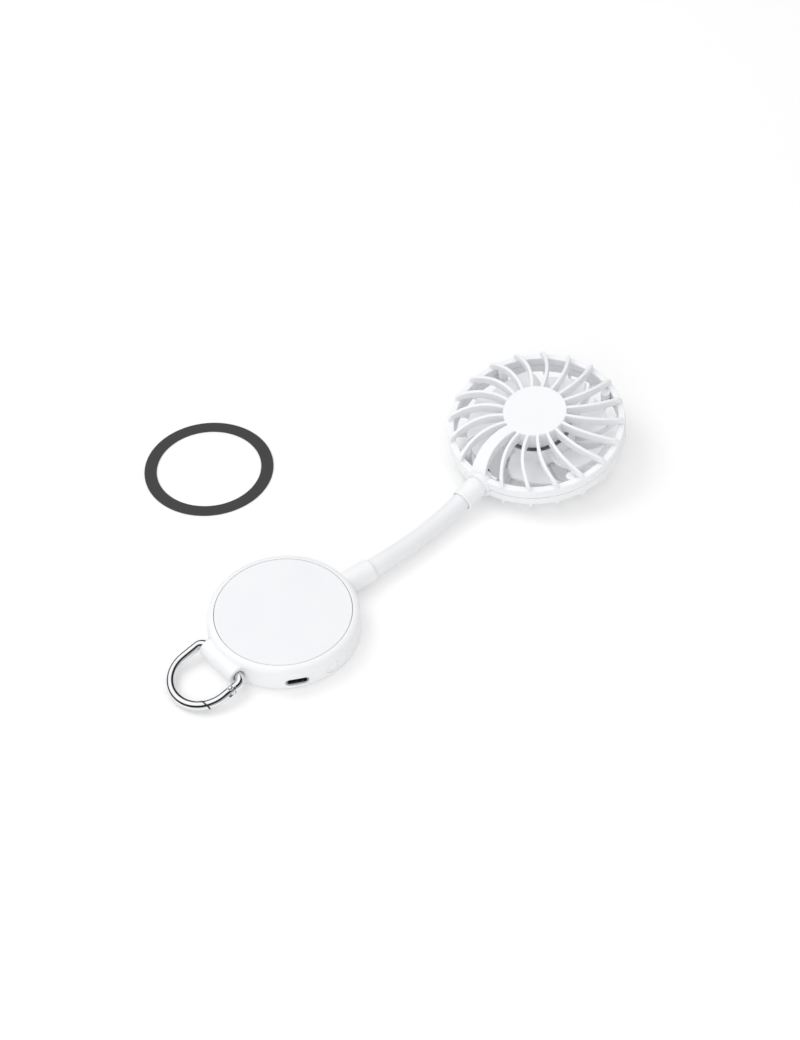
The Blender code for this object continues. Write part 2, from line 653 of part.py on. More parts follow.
def make_board(green):
    """A board shaped like a circle's segment, with its chips."""
    board = add_piece("circuit_board", cylinder(
        BOARD_RADIUS, BOARD_BOTTOM, BOARD_TOP, DISC_STEPS), green)
    back = box((-BASE_RADIUS, -BOARD_FRONT, BOARD_BOTTOM - OVERRUN),
               (BASE_RADIUS, BASE_RADIUS, BOARD_TOP + OVERRUN))
    boolean(board, add_helper("board_front_cut", back), "DIFFERENCE")
    notch_back = button_places()[1] - BUTTON_TRAVEL - GAP
    notch_half = BUTTON_RADIUS + BUTTON_FLANGE + GAP
    notch = box((-notch_half, -BUTTON_HEIGHT, notch_back),
                (notch_half, BUTTON_HEIGHT, BASE_RADIUS))
    boolean(board, add_helper("button_notch", notch,
                              local=to_bearing(BUTTON_BEARING, BUTTON_HEIGHT)),
            "DIFFERENCE")
    chips = bmesh.new()
    y = -BOARD_FRONT - CHIP_BACK
    for x in (CHIP_START, CHIP_START + CHIP_PITCH):
        add_box(chips, (x - CHIP_SIDE / 2, y - CHIP_SIDE / 2, BOARD_TOP - SINK),
                (x + CHIP_SIDE / 2, y + CHIP_SIDE / 2, BOARD_TOP + CHIP_HEIGHT))
    boolean(board, add_helper("chips", mesh_of(chips)), "UNION")
    holes = bmesh.new()
    for side in (-1, 1):
        add_cylinder(holes, BOARD_SCREW_RADIUS + GAP, BOARD_BOTTOM - OVERRUN,
                     BOARD_TOP + OVERRUN, SCREW_STEPS,
                     (side * BOARD_SCREW_X, -BOARD_SCREW_Y))
    boolean(board, add_helper("board_holes", mesh_of(holes)), "DIFFERENCE")
    return board


def screw_profile(shank, head, head_height, length):
    """A pan-head screw, its head's underside at zero and its shank below."""
    return [(0, head_height), (head * CROWN_SHARE, head_height), (head, head_height / 2),
            (head, 0), (shank, 0), (shank, -length), (0, -length)]


def make_board_screws(steel):
    seat = BOARD_TOP + GAP
    length = seat - (BASE_WALL - BOARD_SCREW_BITE) - GAP
    for number, side in enumerate((-1, 1), start=1):
        turned(f"board_screw_{number}",
               screw_profile(BOARD_SCREW_RADIUS, BOARD_SCREW_HEAD_RADIUS,
                             BOARD_SCREW_HEAD, length),
               SCREW_STEPS, steel,
               local=Matrix.Translation((side * BOARD_SCREW_X, -BOARD_SCREW_Y, seat)))


def make_charging_socket(steel, black):
    """A metal shell on the board's edge with a plastic tongue inside."""
    place = to_bearing(SOCKET_BEARING, SOCKET_MIDDLE)
    front = BASE_RADIUS - SOCKET_RECESS
    back = front - SOCKET_LENGTH
    shell = add_piece("usb_c_shell", stadium(
        SOCKET_WIDTH, SOCKET_HEIGHT, back, front, PIN_STEPS), steel, local=place)
    hollow_width = SOCKET_WIDTH - 2 * SOCKET_SKIN
    hollow_height = SOCKET_HEIGHT - 2 * SOCKET_SKIN
    hollow = stadium(hollow_width, hollow_height, back + SOCKET_SKIN, front + OVERRUN,
                     PIN_STEPS)
    boolean(shell, add_helper("socket_hollow", hollow, local=place), "DIFFERENCE")
    base_start = back + SOCKET_SKIN + GAP
    tongue = add_piece("usb_c_tongue", stadium(
        hollow_width - 2 * GAP, hollow_height - 2 * GAP, base_start,
        base_start + SOCKET_TONGUE_BASE, PIN_STEPS), black, local=place)
    half = (SOCKET_TONGUE_WIDTH / 2, SOCKET_TONGUE_THICKNESS / 2)
    blade = box((-half[0], -half[1], base_start + SOCKET_TONGUE_BASE / 2),
                (half[0], half[1], front - SOCKET_TONGUE_INSET))
    boolean(tongue, add_helper("tongue_blade", blade, local=place), "UNION")


def button_places():
    """The flange's front and back, inside the wall, and the stem's end."""
    flange = BUTTON_RADIUS + BUTTON_FLANGE
    flange_front = math.sqrt(INNER_RADIUS ** 2 - flange ** 2) - GAP
    flange_back = flange_front - BUTTON_FLANGE_THICKNESS
    return flange_front, flange_back, flange_back - BUTTON_STEM


def make_power_button(plastic, black, steel):
    """A round button through the wall, the plunger it pushes and the switch."""
    place = to_bearing(BUTTON_BEARING, BUTTON_HEIGHT)
    front = BASE_RADIUS - BUTTON_SINK
    flange_front, flange_back, stem_end = button_places()
    flange = BUTTON_RADIUS + BUTTON_FLANGE
    turned("power_button", [
        (0, front), (BUTTON_RADIUS - FINE_EDGE, front), (BUTTON_RADIUS, front - FINE_EDGE),
        (BUTTON_RADIUS, flange_front), (flange, flange_front), (flange, flange_back),
        (BUTTON_STEM_RADIUS, flange_back), (BUTTON_STEM_RADIUS, stem_end),
        (0, stem_end)], BARREL_STEPS, plastic, local=place)
    plunger_front = stem_end - GAP
    switch_front = plunger_front - PLUNGER_SHOW
    plunger_back = switch_front - PLUNGER_INSIDE
    turned("switch_plunger", [
        (0, plunger_front), (PLUNGER_RADIUS, plunger_front),
        (PLUNGER_RADIUS, plunger_back), (0, plunger_back)], SCREW_STEPS, black, local=place)
    low = BOARD_TOP + GAP - BUTTON_HEIGHT
    switch = add_piece("tact_switch", box(
        (-SWITCH_WIDTH / 2, low, switch_front - SWITCH_DEPTH),
        (SWITCH_WIDTH / 2, SWITCH_CROWN, switch_front)), steel, local=place)
    well = cylinder(PLUNGER_RADIUS + GAP, plunger_back - BUTTON_TRAVEL - GAP,
                    switch_front + OVERRUN, SCREW_STEPS)
    boolean(switch, add_helper("plunger_well", well, local=place), "DIFFERENCE")


# Key-ring clip

def clip_tube_frame():
    """In the middle of the tube: +X runs out from the base and +Y along the tube."""
    turn = Matrix.Rotation(math.pi + math.radians(CLIP_BEARING), 4, "Z")
    return turn @ Matrix.Translation((CLIP_AXIS, 0, MID_HEIGHT))


def clip_frame():
    """On the tube's axis: +X runs out to the bow and drops to the floor."""
    return clip_tube_frame() @ Matrix.Rotation(CLIP_DROP, 4, "Y")


def bend(centre, radius, start, end):
    """Points of a wire's bend in the clip's plane, angles in degrees."""
    count = max(2, round(abs(math.radians(end - start)) / ARC_STEP))
    return [(x, y, 0) for x, y in arc(centre, radius, start, end, count)]


def clip_wire():
    """From past the nose, round the bow, through the tube and back to the hinge."""
    past_nose = math.degrees(math.acos((CLIP_NOSE - CLIP_STRAIGHT) / CLIP_HALF_WIDTH))
    past_nose += NOSE_OVERLAP
    corner = CLIP_HALF_WIDTH - CLIP_CORNER
    route = bend((CLIP_STRAIGHT, 0), CLIP_HALF_WIDTH, past_nose, -90)
    route += bend((CLIP_CORNER, -corner), CLIP_CORNER, 270, 180)
    route += bend((CLIP_CORNER, corner), CLIP_CORNER, 180, 90)
    route.append((HINGE_REACH - HINGE_BACK, CLIP_HALF_WIDTH, 0))
    return route


def make_clip(chrome, steel):
    """The clip swings in its tube, and its gate turns on a rivet."""
    pivot = new_empty("clip_pivot", clip_frame())
    body = add_piece("carabiner_body", rod_mesh(clip_wire(), WIRE_RADIUS, WIRE_SIDES),
                     chrome, pivot)
    side = CLIP_HALF_WIDTH
    hinge = (HINGE_REACH, side)
    tang = bmesh.new()
    add_box(tang, (HINGE_REACH - HINGE_BACK - OVERRUN, side - TANG_HALF_WIDTH,
                   -TANG_THICKNESS / 2),
            (HINGE_REACH, side + TANG_HALF_WIDTH, TANG_THICKNESS / 2))
    boolean(body, add_helper("tang_bar", mesh_of(tang), pivot), "UNION")
    tang_end = cylinder(TANG_RADIUS, -TANG_THICKNESS / 2 + SINK / 10,
                        TANG_THICKNESS / 2 - SINK / 10, PIN_STEPS, hinge)
    boolean(body, add_helper("tang_end", tang_end, pivot), "UNION")
    hole = cylinder(RIVET_RADIUS + GAP, -WIRE_RADIUS - OVERRUN, WIRE_RADIUS + OVERRUN,
                    SCREW_STEPS, hinge)
    rivet_hole = add_helper("rivet_hole", hole, pivot)
    boolean(body, rivet_hole, "DIFFERENCE")
    nose_cut = box((CLIP_STRAIGHT - WIRE_RADIUS, side / 3, -WIRE_RADIUS - OVERRUN),
                   (CLIP_NOSE + CLIP_SLIT / 2, side + 2 * WIRE_RADIUS,
                    WIRE_RADIUS + OVERRUN))
    boolean(body, add_helper("nose_cut", nose_cut, pivot), "DIFFERENCE")

    gate_pivot = new_empty("gate_pivot", Matrix.Translation((*hinge, 0)), pivot)
    to_hinge = Matrix.Translation((-hinge[0], -hinge[1], 0))
    last = math.degrees(math.acos((CLIP_NOSE - CLIP_STRAIGHT) / CLIP_HALF_WIDTH))
    last -= GATE_OVERLAP
    route = [(HINGE_REACH, side, 0)] + bend((CLIP_STRAIGHT, 0), side, 90, last)
    gate = add_piece("carabiner_gate", rod_mesh(route, WIRE_RADIUS, WIRE_SIDES), chrome,
                     gate_pivot, to_hinge)
    fork = cylinder(WIRE_RADIUS, -FORK_HEIGHT / 2, FORK_HEIGHT / 2, PIN_STEPS, hinge)
    boolean(gate, add_helper("fork_end", fork, gate_pivot, to_hinge), "UNION")
    slot_half = TANG_THICKNESS / 2 + GAP
    slot = box((HINGE_REACH - WIRE_RADIUS - OVERRUN, side - 2 * WIRE_RADIUS, -slot_half),
               (HINGE_REACH + FORK_DEPTH, side + 2 * WIRE_RADIUS, slot_half))
    boolean(gate, add_helper("fork_slot", slot, gate_pivot, to_hinge), "DIFFERENCE")
    boolean(gate, rivet_hole, "DIFFERENCE")
    tip_cut = box((CLIP_NOSE - CLIP_SLIT / 2, 0, -WIRE_RADIUS - OVERRUN),
                  (CLIP_NOSE + 2 * CLIP_HALF_WIDTH, side + 2 * WIRE_RADIUS,
                   WIRE_RADIUS + OVERRUN))
    boolean(gate, add_helper("tip_cut", tip_cut, gate_pivot, to_hinge), "DIFFERENCE")
    spring_start = HINGE_REACH + FORK_DEPTH
    spring_bore = cylinder(SPRING_RADIUS + SPRING_WIRE + GAP, spring_start - OVERRUN,
                           spring_start + SPRING_LENGTH + GAP, SCREW_STEPS,
                           turn=Matrix.Translation((0, side, 0)) @ along((1, 0, 0)))
    boolean(gate, add_helper("spring_bore", spring_bore, gate_pivot, to_hinge),
            "DIFFERENCE")

    half = FORK_HEIGHT / 2 + GAP
    turned("gate_rivet", [
        (0, half + RIVET_HEAD), (RIVET_HEAD_RADIUS - RIVET_HEAD / 2, half + RIVET_HEAD),
        (RIVET_HEAD_RADIUS, half), (RIVET_RADIUS, half), (RIVET_RADIUS, -half),
        (RIVET_HEAD_RADIUS, -half),
        (RIVET_HEAD_RADIUS - RIVET_HEAD / 2, -half - RIVET_HEAD),
        (0, -half - RIVET_HEAD)], PIN_STEPS, steel, pivot, local=Matrix.Translation(
            (*hinge, 0)))
    points = []
    for i in range(SPRING_TURNS * 8 + 1):
        turn = 2 * math.pi * i / 8
        points.append((
            spring_start - GAP + (SPRING_LENGTH - GAP) * i / (SPRING_TURNS * 8),
            side + SPRING_RADIUS * math.cos(turn), SPRING_RADIUS * math.sin(turn)))
    add_piece("gate_spring", rod_mesh(points, SPRING_WIRE, 1), steel, gate_pivot, to_hinge)


# Neck

def head_axes():
    """The head's outward, sideways and facing directions."""
    bearing = math.radians(HEAD_BEARING)
    tilt = math.radians(HEAD_TILT)
    outward = Vector((math.cos(tilt) * math.cos(bearing),
                      math.cos(tilt) * math.sin(bearing), math.sin(tilt)))
    sideways = Vector((-math.sin(bearing), math.cos(bearing), 0))
    return outward, sideways, outward.cross(sideways)


def head_height():
    """The head rests on the lowest of its rear ribs."""
    tilt = math.radians(HEAD_TILT)
    stations = [i / RIB_STATIONS for i in range(RIB_STATIONS + 1)]
    return max(rib_top(share) * math.cos(tilt) + rib_radius(share) * math.sin(tilt)
               for share in stations)


def neck_ends():
    """The two collar mouths: where the bare neck starts and ends."""
    outward = head_axes()[0]
    start = Vector((COLLAR_END, 0, MID_HEIGHT))
    lift = head_height() - HEAD_COLLAR_REACH * outward.z
    return start, Vector((COLLAR_END + NECK_SPAN, NECK_DRIFT, lift))


def neck_line():
    """Samples of the neck's axis, one smooth bend from the first joint to the last."""
    start, end = neck_ends()
    outward = head_axes()[0]
    start = start + Vector((NECK_FIRST_JOINT, 0, 0))
    end = end - outward * NECK_LAST_JOINT
    handle = (end - start).length / 3
    control = (start, start + Vector((handle, 0, 0)), end - handle * outward, end)
    line = []
    for i in range(NECK_SAMPLES + 1):
        t = i / NECK_SAMPLES
        weights = ((1 - t) ** 3, 3 * t * (1 - t) ** 2, 3 * t * t * (1 - t), t ** 3)
        line.append(sum((w * p for w, p in zip(weights, control)), Vector()))
    return line


def point_along(line, distance):
    """The point a given distance along the neck's axis."""
    for first, second in zip(line, line[1:]):
        step = (second - first).length
        if distance <= step:
            return first.lerp(second, distance / step)
        distance -= step
    return line[-1]


def neck_centres():
    """The centres about which the neck bends, evenly spaced."""
    line = neck_line()
    length = sum((b - a).length for a, b in zip(line, line[1:]))
    return [point_along(line, length * i / (NECK_JOINTS - 1)) for i in range(NECK_JOINTS)]


def link_frame(start, end):
    """At a joint's centre: +Z runs to the next centre, and X lies level."""
    forward = (end - start).normalized()
    level = Vector((0, 0, 1)).cross(forward).normalized()
    frame = Matrix((level, forward.cross(level), forward)).transposed().to_4x4()
    return Matrix.Translation(start) @ frame


def ball_points(centre):
    """The ball at a link's far end, from its bore out to the sleeve's side."""
    start = math.degrees(math.acos(NECK_BORE_RADIUS / NECK_RADIUS))
    return arc((0, centre), NECK_RADIUS, start, 0, BALL_SEGMENTS)


def cup_points():
    """The cup at a link's near end, from its lip in to the bore."""
    reach = NECK_RADIUS + GAP
    lip = math.degrees(math.asin(SOCKET_LIP / reach))
    inner = math.degrees(math.acos(NECK_BORE_RADIUS / reach))
    return [(NECK_RADIUS, SOCKET_LIP)] + arc((0, 0), reach, lip, inner, BALL_SEGMENTS - 1)


def make_neck(silicone):
    """Seven lengths of sleeve, joined by balls in cups, and an empty at each joint."""
    centres = neck_centres()
    start, end = neck_ends()
    outward = head_axes()[0]
    sleeve_start = Vector((COLLAR_ROOT + GAP, 0, MID_HEIGHT))
    sleeve_end = end + outward * (
        HEAD_COLLAR_REACH - RIM_INNER + HEAD_COLLAR_FLANGE_GAP - GAP)
    stops = centres + [sleeve_end]
    first = (centres[0] - sleeve_start).length
    turned("neck_sleeve_1", ball_points(first) + [(NECK_RADIUS, 0), (NECK_BORE_RADIUS, 0)],
           SLEEVE_STEPS, silicone, closed=True, local=link_frame(sleeve_start, centres[0]))
    carrier, carrier_frame = None, Matrix.Identity(4)
    for number, centre in enumerate(centres, start=1):
        frame = link_frame(centre, stops[number])
        carrier = new_empty(f"neck_joint_{number}", carrier_frame.inverted() @ frame,
                            carrier)
        carrier_frame = frame
        length = (stops[number] - centre).length
        if number < NECK_JOINTS:
            profile = ball_points(length) + cup_points()
        else:
            profile = [(NECK_BORE_RADIUS, length), (NECK_RADIUS, length)] + cup_points()
        turned(f"neck_sleeve_{number + 1}", profile, SLEEVE_STEPS, silicone, carrier,
               closed=True)
    return carrier, carrier_frame


def anchor_face():
    """The collar's root face, which the anchor lies against."""
    return COLLAR_ROOT - GAP


def make_anchor(brass):
    """The plate that holds the neck's core inside the base."""
    place = Matrix.Translation((0, 0, MID_HEIGHT)) @ along((1, 0, 0))
    face = anchor_face()
    rise = LEDGE_BOTTOM - ANCHOR_LEDGE_GAP - MID_HEIGHT
    plate = add_piece("neck_anchor", box(
        (face - ANCHOR_THICKNESS, -ANCHOR_WIDTH / 2, MID_HEIGHT - rise),
        (face, ANCHOR_WIDTH / 2, MID_HEIGHT + rise)), brass)
    hole = cylinder(NECK_BORE_RADIUS, face - ANCHOR_THICKNESS - OVERRUN, face + OVERRUN,
                    PIN_STEPS)
    boolean(plate, add_helper("anchor_hole", hole, local=place), "DIFFERENCE")


def head_point(frame, x, y, z):
    """A point given in the head's own frame, in the world."""
    return frame @ Vector((x, y, z))


def make_core_and_leads(frame, steel, red, black):
    """The stiff core through the neck, and the motor's two leads beside it."""
    start = Vector((anchor_face() - ANCHOR_THICKNESS - CORE_TAIL, 0, MID_HEIGHT))
    inner_end = -RIM_INNER + HEAD_COLLAR_FLANGE_GAP + HEAD_COLLAR_FLANGE + GAP
    line = [start, Vector((COLLAR_END, 0, MID_HEIGHT))]
    samples = neck_line()
    line += samples[::len(samples) // NECK_JOINTS]
    line.append(head_point(frame, inner_end, 0, 0))
    add_piece("neck_core", rod_mesh(line, CORE_RADIUS, 2), steel)
    sideways = head_axes()[1]
    for side, name, coat in ((1, "motor_lead_red", red), (-1, "motor_lead_black", black)):
        offset = [Vector((0, side * LEAD_SPREAD, 0))] * 2
        offset += [sideways * side * LEAD_SPREAD] * (len(line) - 2)
        route = [point + shift for point, shift in zip(line, offset)]
        shift = side * LEAD_APART
        before = [
            Vector((BOARD_SCREW_X - LEAD_PAD_SIDE - side * LEAD_SPREAD,
                    -BOARD_FRONT - LEAD_PAD_BACK, BOARD_TOP + GAP + LEAD_RADIUS)),
            Vector((BATTERY_HALF_LENGTH + LEAD_TURN_SIDE - side * LEAD_SPREAD / 2,
                    LEAD_TURN_FRONT - BOARD_FRONT, (BOARD_TOP + MID_HEIGHT) / 2))]
        clear = BLADE_TIP_RADIUS + (RIM_INNER - BLADE_TIP_RADIUS) / 4
        after = [head_point(frame, -clear, shift, RIM_TOP / 2)]
        mouth = channel_point(LEAD_MOUTH_SHARE, -shift)
        after.append(frame @ (mouth - Vector((0, 0, CHANNEL_DEPTH / 2))))
        step = (LEAD_MOUTH_SHARE - LEAD_END_SHARE) / LEAD_STATIONS
        for i in range(1, LEAD_STATIONS + 1):
            after.append(frame @ channel_point(LEAD_MOUTH_SHARE - step * i, -shift))
        route = before + route + after
        add_piece(name, rod_mesh(route, LEAD_RADIUS, 2), coat)


# Fan head

def rib_radius(share):
    """From the hub's edge to the rim's outer edge."""
    return HUB_RADIUS + (RIM_RADIUS - HUB_RADIUS) * share


def rib_top(share):
    """The upper edge of a rib: a crown between hub and rim."""
    rise = HUB_RISE - SINK + (RIB_TIP_RISE - HUB_RISE + SINK) * share
    return RIM_TOP + rise + 4 * RIB_CROWN * share * (1 - share)


def rib_bottom(share):
    return rib_top(share) - RIB_DEPTH_HUB - (RIB_DEPTH_RIM - RIB_DEPTH_HUB) * share


def rib_crest(share):
    """The upper edge with its end rounded down to the rim."""
    run = RIM_RADIUS - HUB_RADIUS
    past = max(0.0, (share - 1) * run + RIB_END_ROUND) / RIB_END_ROUND
    return rib_top(share) - RIB_TIP_DROP * (1 - math.sqrt(max(0.0, 1 - past * past)))


def rib_plan(share, across):
    """A point of the bowed rib in plan, a distance across from its middle line."""
    sweep = math.radians(RIB_SWEEP)
    start = Vector((HUB_RADIUS, 0))
    end = Vector((RIM_RADIUS * math.cos(sweep), RIM_RADIUS * math.sin(sweep)))
    chord = end - start
    normal = Vector((-chord.y, chord.x)).normalized()
    point = start + chord * share - normal * (4 * RIB_BOW * share * (1 - share))
    slope = chord - normal * (4 * RIB_BOW * (1 - 2 * share))
    side = Vector((-slope.y, slope.x)).normalized()
    return point + side * across


def channel_point(share, across):
    """A point in the wire channel under the wide rib, in the head's frame."""
    plan = Matrix.Rotation(math.radians(WIDE_RIB_ANGLE), 2) @ rib_plan(share, across)
    height = rib_bottom(max(share, 0)) + CHANNEL_DEPTH - LEAD_ROOM - LEAD_RADIUS
    return Vector((plan.x, plan.y, height))


def add_rib(shape, angle, width, start, end, top, bottom):
    """A flat strip, given its thickness and then laid along the rib's curve."""
    turn = Matrix.Rotation(math.radians(angle), 3, "Z")
    made = bmesh.ops.create_grid(shape, x_segments=RIB_STATIONS, y_segments=1, size=0.5)
    flat = made["verts"]
    faces = list({face for point in flat for face in point.link_faces})
    lifted = bmesh.ops.extrude_face_region(shape, geom=faces)
    upper = [item for item in lifted["geom"] if isinstance(item, bmesh.types.BMVert)]
    for points, height in ((flat, bottom), (upper, top)):
        for point in points:
            reach = point.co.x + 0.5
            share = start + (end - start) * reach
            plan = rib_plan(share, point.co.y * width(share))
            point.co = turn @ Vector((plan.x, plan.y, height(share)))


def rib_width(share):
    return RIB_THICKNESS


def wide_rib_width(share):
    return WIDE_RIB_HUB + (WIDE_RIB_RIM - WIDE_RIB_HUB) * share


def cage_ribs(side, wide):
    """The ring of bowed ribs: side is 1 for the front cage and -1 for the rear."""
    shape = bmesh.new()
    inset = -HUB_SKIRT_WALL / 2 / (RIM_RADIUS - HUB_RADIUS)
    for number in range(RIB_COUNT):
        angle = WIDE_RIB_ANGLE + 360.0 * number / RIB_COUNT
        width = wide_rib_width if wide and number == 0 else rib_width
        add_rib(shape, angle, width, inset, 1.0, rib_crest, rib_bottom)
    bmesh.ops.scale(shape, vec=(1, 1, side), verts=shape.verts)
    return mesh_of(shape)


def rim_profile(side):
    """Half of the rim, its outer side running down, a little past the parting."""
    parting = RIM_PARTING - side * OVERRUN
    step = RIM_TOP - RIM_STEP_DROP
    outer = RIM_RADIUS + RIM_STEP
    if side > 0:
        return [
            (RIM_RADIUS - FINE_EDGE / 2, RIM_TOP), (RIM_RADIUS, RIM_TOP - FINE_EDGE / 2),
            (RIM_RADIUS, step), (outer, step - RIM_STEP), (outer, parting),
            (RIM_INNER, parting), (RIM_INNER, RIM_TOP)]
    return [
        (RIM_INNER, parting), (outer, parting), (outer, -step + RIM_STEP),
        (RIM_RADIUS, -step), (RIM_RADIUS, -RIM_TOP + FINE_EDGE / 2),
        (RIM_RADIUS - FINE_EDGE / 2, -RIM_TOP), (RIM_INNER, -RIM_TOP)]


def hub_profile(side):
    """The hub's disc and skirt. The front skirt is deeper and has the motor's socket."""
    under = HUB_TOP - HUB_SKIN
    skirt = CUP_TOP + HUB_SKIRT_ROOM if side > 0 else HUB_TOP - HUB_SKIRT
    skirt_inner = HUB_RADIUS - HUB_SKIRT_WALL
    outer = [(0, HUB_TOP), (HUB_RADIUS - FINE_EDGE, HUB_TOP),
             (HUB_RADIUS, HUB_TOP - FINE_EDGE), (HUB_RADIUS, skirt), (skirt_inner, skirt),
             (skirt_inner, under)]
    bore = MOTOR_RADIUS + GAP
    low = under - MOTOR_SOCKET_DEPTH
    holder = [(bore + MOTOR_SOCKET_WALL, under), (bore + MOTOR_SOCKET_WALL, low),
              (bore, low), (bore, under)]
    if side > 0:
        return outer + holder + [(0, under)]
    return [(radius, -height) for radius, height in reversed(outer + [(0, under)])]


def post_places():
    """The screw posts just inside the rim."""
    for number in range(POST_COUNT):
        angle = math.radians(POST_BEARING + 360.0 * number / POST_COUNT)
        yield POST_CIRCLE * math.cos(angle), POST_CIRCLE * math.sin(angle)


def make_cage(name, side, plastic, head):
    """Half of the cage: rim, hub and ribs, with its screw posts and collar boss."""
    parting = RIM_PARTING + side * GAP / 2
    cage = turned(name, rim_profile(side), DISC_STEPS, plastic, head, closed=True)
    hub = turned_helper(f"{name}_hub", hub_profile(side), BARREL_STEPS, head)
    boolean(cage, hub, "UNION")
    to_neck = along((-1, 0, 0))
    boss = cylinder(COLLAR_BOSS_RADIUS, RIM_INNER + SINK, RIM_RADIUS + COLLAR_BOSS_OUT,
                    BARREL_STEPS, turn=to_neck)
    boolean(cage, add_helper(f"{name}_boss", boss, head), "UNION")
    posts = bmesh.new()
    low, high = sorted((parting - side * OVERRUN, side * (RIM_TOP - FINE_EDGE)))
    for place in post_places():
        add_cylinder(posts, POST_RADIUS, low, high, PIN_STEPS, place)
    boolean(cage, add_helper(f"{name}_posts", mesh_of(posts), head), "UNION")
    ribs = add_helper(f"{name}_ribs", cage_ribs(side, side > 0), head)
    boolean(cage, ribs, "UNION")
    far = 2 * RIM_RADIUS
    low, high = sorted((parting, parting - side * RIM_HEIGHT))
    keep_off = box((-far, -far, low), (far, far, high))
    boolean(cage, add_helper(f"{name}_parting", keep_off, head), "DIFFERENCE")
    collar_hole = cylinder(HEAD_COLLAR_RADIUS + GAP, RIM_INNER - RIM_WIDTH,
                           HEAD_COLLAR_REACH, BARREL_STEPS, turn=to_neck)
    boolean(cage, add_helper(f"{name}_collar_hole", collar_hole, head), "DIFFERENCE")
    holes = bmesh.new()
    if side > 0:
        low, high = parting - OVERRUN, parting + HEAD_SCREW_BITE + GAP
    else:
        low, high = -RIM_TOP - OVERRUN, parting + OVERRUN
    for place in post_places():
        add_cylinder(holes, HEAD_SCREW_RADIUS + GAP, low, high, SCREW_STEPS, place)
    boolean(cage, add_helper(f"{name}_screw_holes", mesh_of(holes), head), "DIFFERENCE")
    if side < 0:
        sinks = bmesh.new()
        seat = HEAD_SCREW_HEAD + HEAD_SCREW_SUNK + GAP - RIM_TOP
        for place in post_places():
            add_cylinder(sinks, HEAD_SCREW_HEAD_RADIUS + GAP, -RIM_TOP - OVERRUN, seat,
                         SCREW_STEPS, place)
        boolean(cage, add_helper("screw_sinks", mesh_of(sinks), head), "DIFFERENCE")
    else:
        boolean(cage, wire_channel(head), "DIFFERENCE")
    return cage


def wire_channel(head):
    """The channel under the wide rib, cut on through the skirt to the motor."""
    shape = bmesh.new()
    reach = (HUB_RADIUS - MOTOR_RADIUS) / (RIM_RADIUS - HUB_RADIUS)
    add_rib(shape, WIDE_RIB_ANGLE, lambda share: CHANNEL_WIDTH, -reach, CHANNEL_START_SHARE,
            lambda share: rib_bottom(max(share, 0)) + CHANNEL_DEPTH,
            lambda share: rib_bottom(max(share, 0)) - OVERRUN)
    return add_helper("wire_channel", mesh_of(shape), head)


def make_head_screws(steel, head):
    """Four screws up through the rear rim into the front one."""
    seat = HEAD_SCREW_HEAD + HEAD_SCREW_SUNK - RIM_TOP
    length = RIM_PARTING + HEAD_SCREW_BITE - seat
    profile = screw_profile(HEAD_SCREW_RADIUS, HEAD_SCREW_HEAD_RADIUS, HEAD_SCREW_HEAD,
                            length)
    flipped = [(radius, -height) for radius, height in reversed(profile)]
    for number, (x, y) in enumerate(post_places(), start=1):
        turned(f"head_screw_{number}", flipped, SCREW_STEPS, steel, head,
               local=Matrix.Translation((x, y, seat)))


def make_head_collar(plastic, head):
    """The tube that holds the neck's end, with a flange behind the rim."""
    to_neck = along((-1, 0, 0))
    inner = RIM_INNER - HEAD_COLLAR_FLANGE_GAP
    lip = FINE_EDGE
    collar = turned("head_collar", [
        (0, HEAD_COLLAR_REACH), (HEAD_COLLAR_RADIUS - lip, HEAD_COLLAR_REACH),
        (HEAD_COLLAR_RADIUS, HEAD_COLLAR_REACH - lip),
        (HEAD_COLLAR_RADIUS, inner - HEAD_COLLAR_FLANGE),
        (0, inner - HEAD_COLLAR_FLANGE)], BARREL_STEPS, plastic, head, local=to_neck)
    flange = box((-inner, -HEAD_COLLAR_FLANGE_HALF, -HEAD_COLLAR_FLANGE_HEIGHT / 2),
                 (HEAD_COLLAR_FLANGE - inner, HEAD_COLLAR_FLANGE_HALF,
                  HEAD_COLLAR_FLANGE_HEIGHT / 2))
    boolean(collar, add_helper("collar_flange", flange, head), "UNION")
    trim = box((-inner - SINK, -HEAD_COLLAR_RADIUS, HEAD_COLLAR_FLANGE_HEIGHT / 2),
               (OVERRUN - inner + HEAD_COLLAR_FLANGE, HEAD_COLLAR_RADIUS,
                HEAD_COLLAR_RADIUS + OVERRUN))
    boolean(collar, add_helper("collar_trim", trim, head), "DIFFERENCE")
    bore = cylinder(SLEEVE_BORE, inner, HEAD_COLLAR_REACH + OVERRUN, BARREL_STEPS,
                    turn=to_neck)
    boolean(collar, add_helper("head_collar_bore", bore, head), "DIFFERENCE")
    wire_way = cylinder(NECK_BORE_RADIUS, inner - HEAD_COLLAR_FLANGE - OVERRUN,
                        inner + OVERRUN, PIN_STEPS, turn=to_neck)
    boolean(collar, add_helper("collar_wire_way", wire_way, head), "DIFFERENCE")


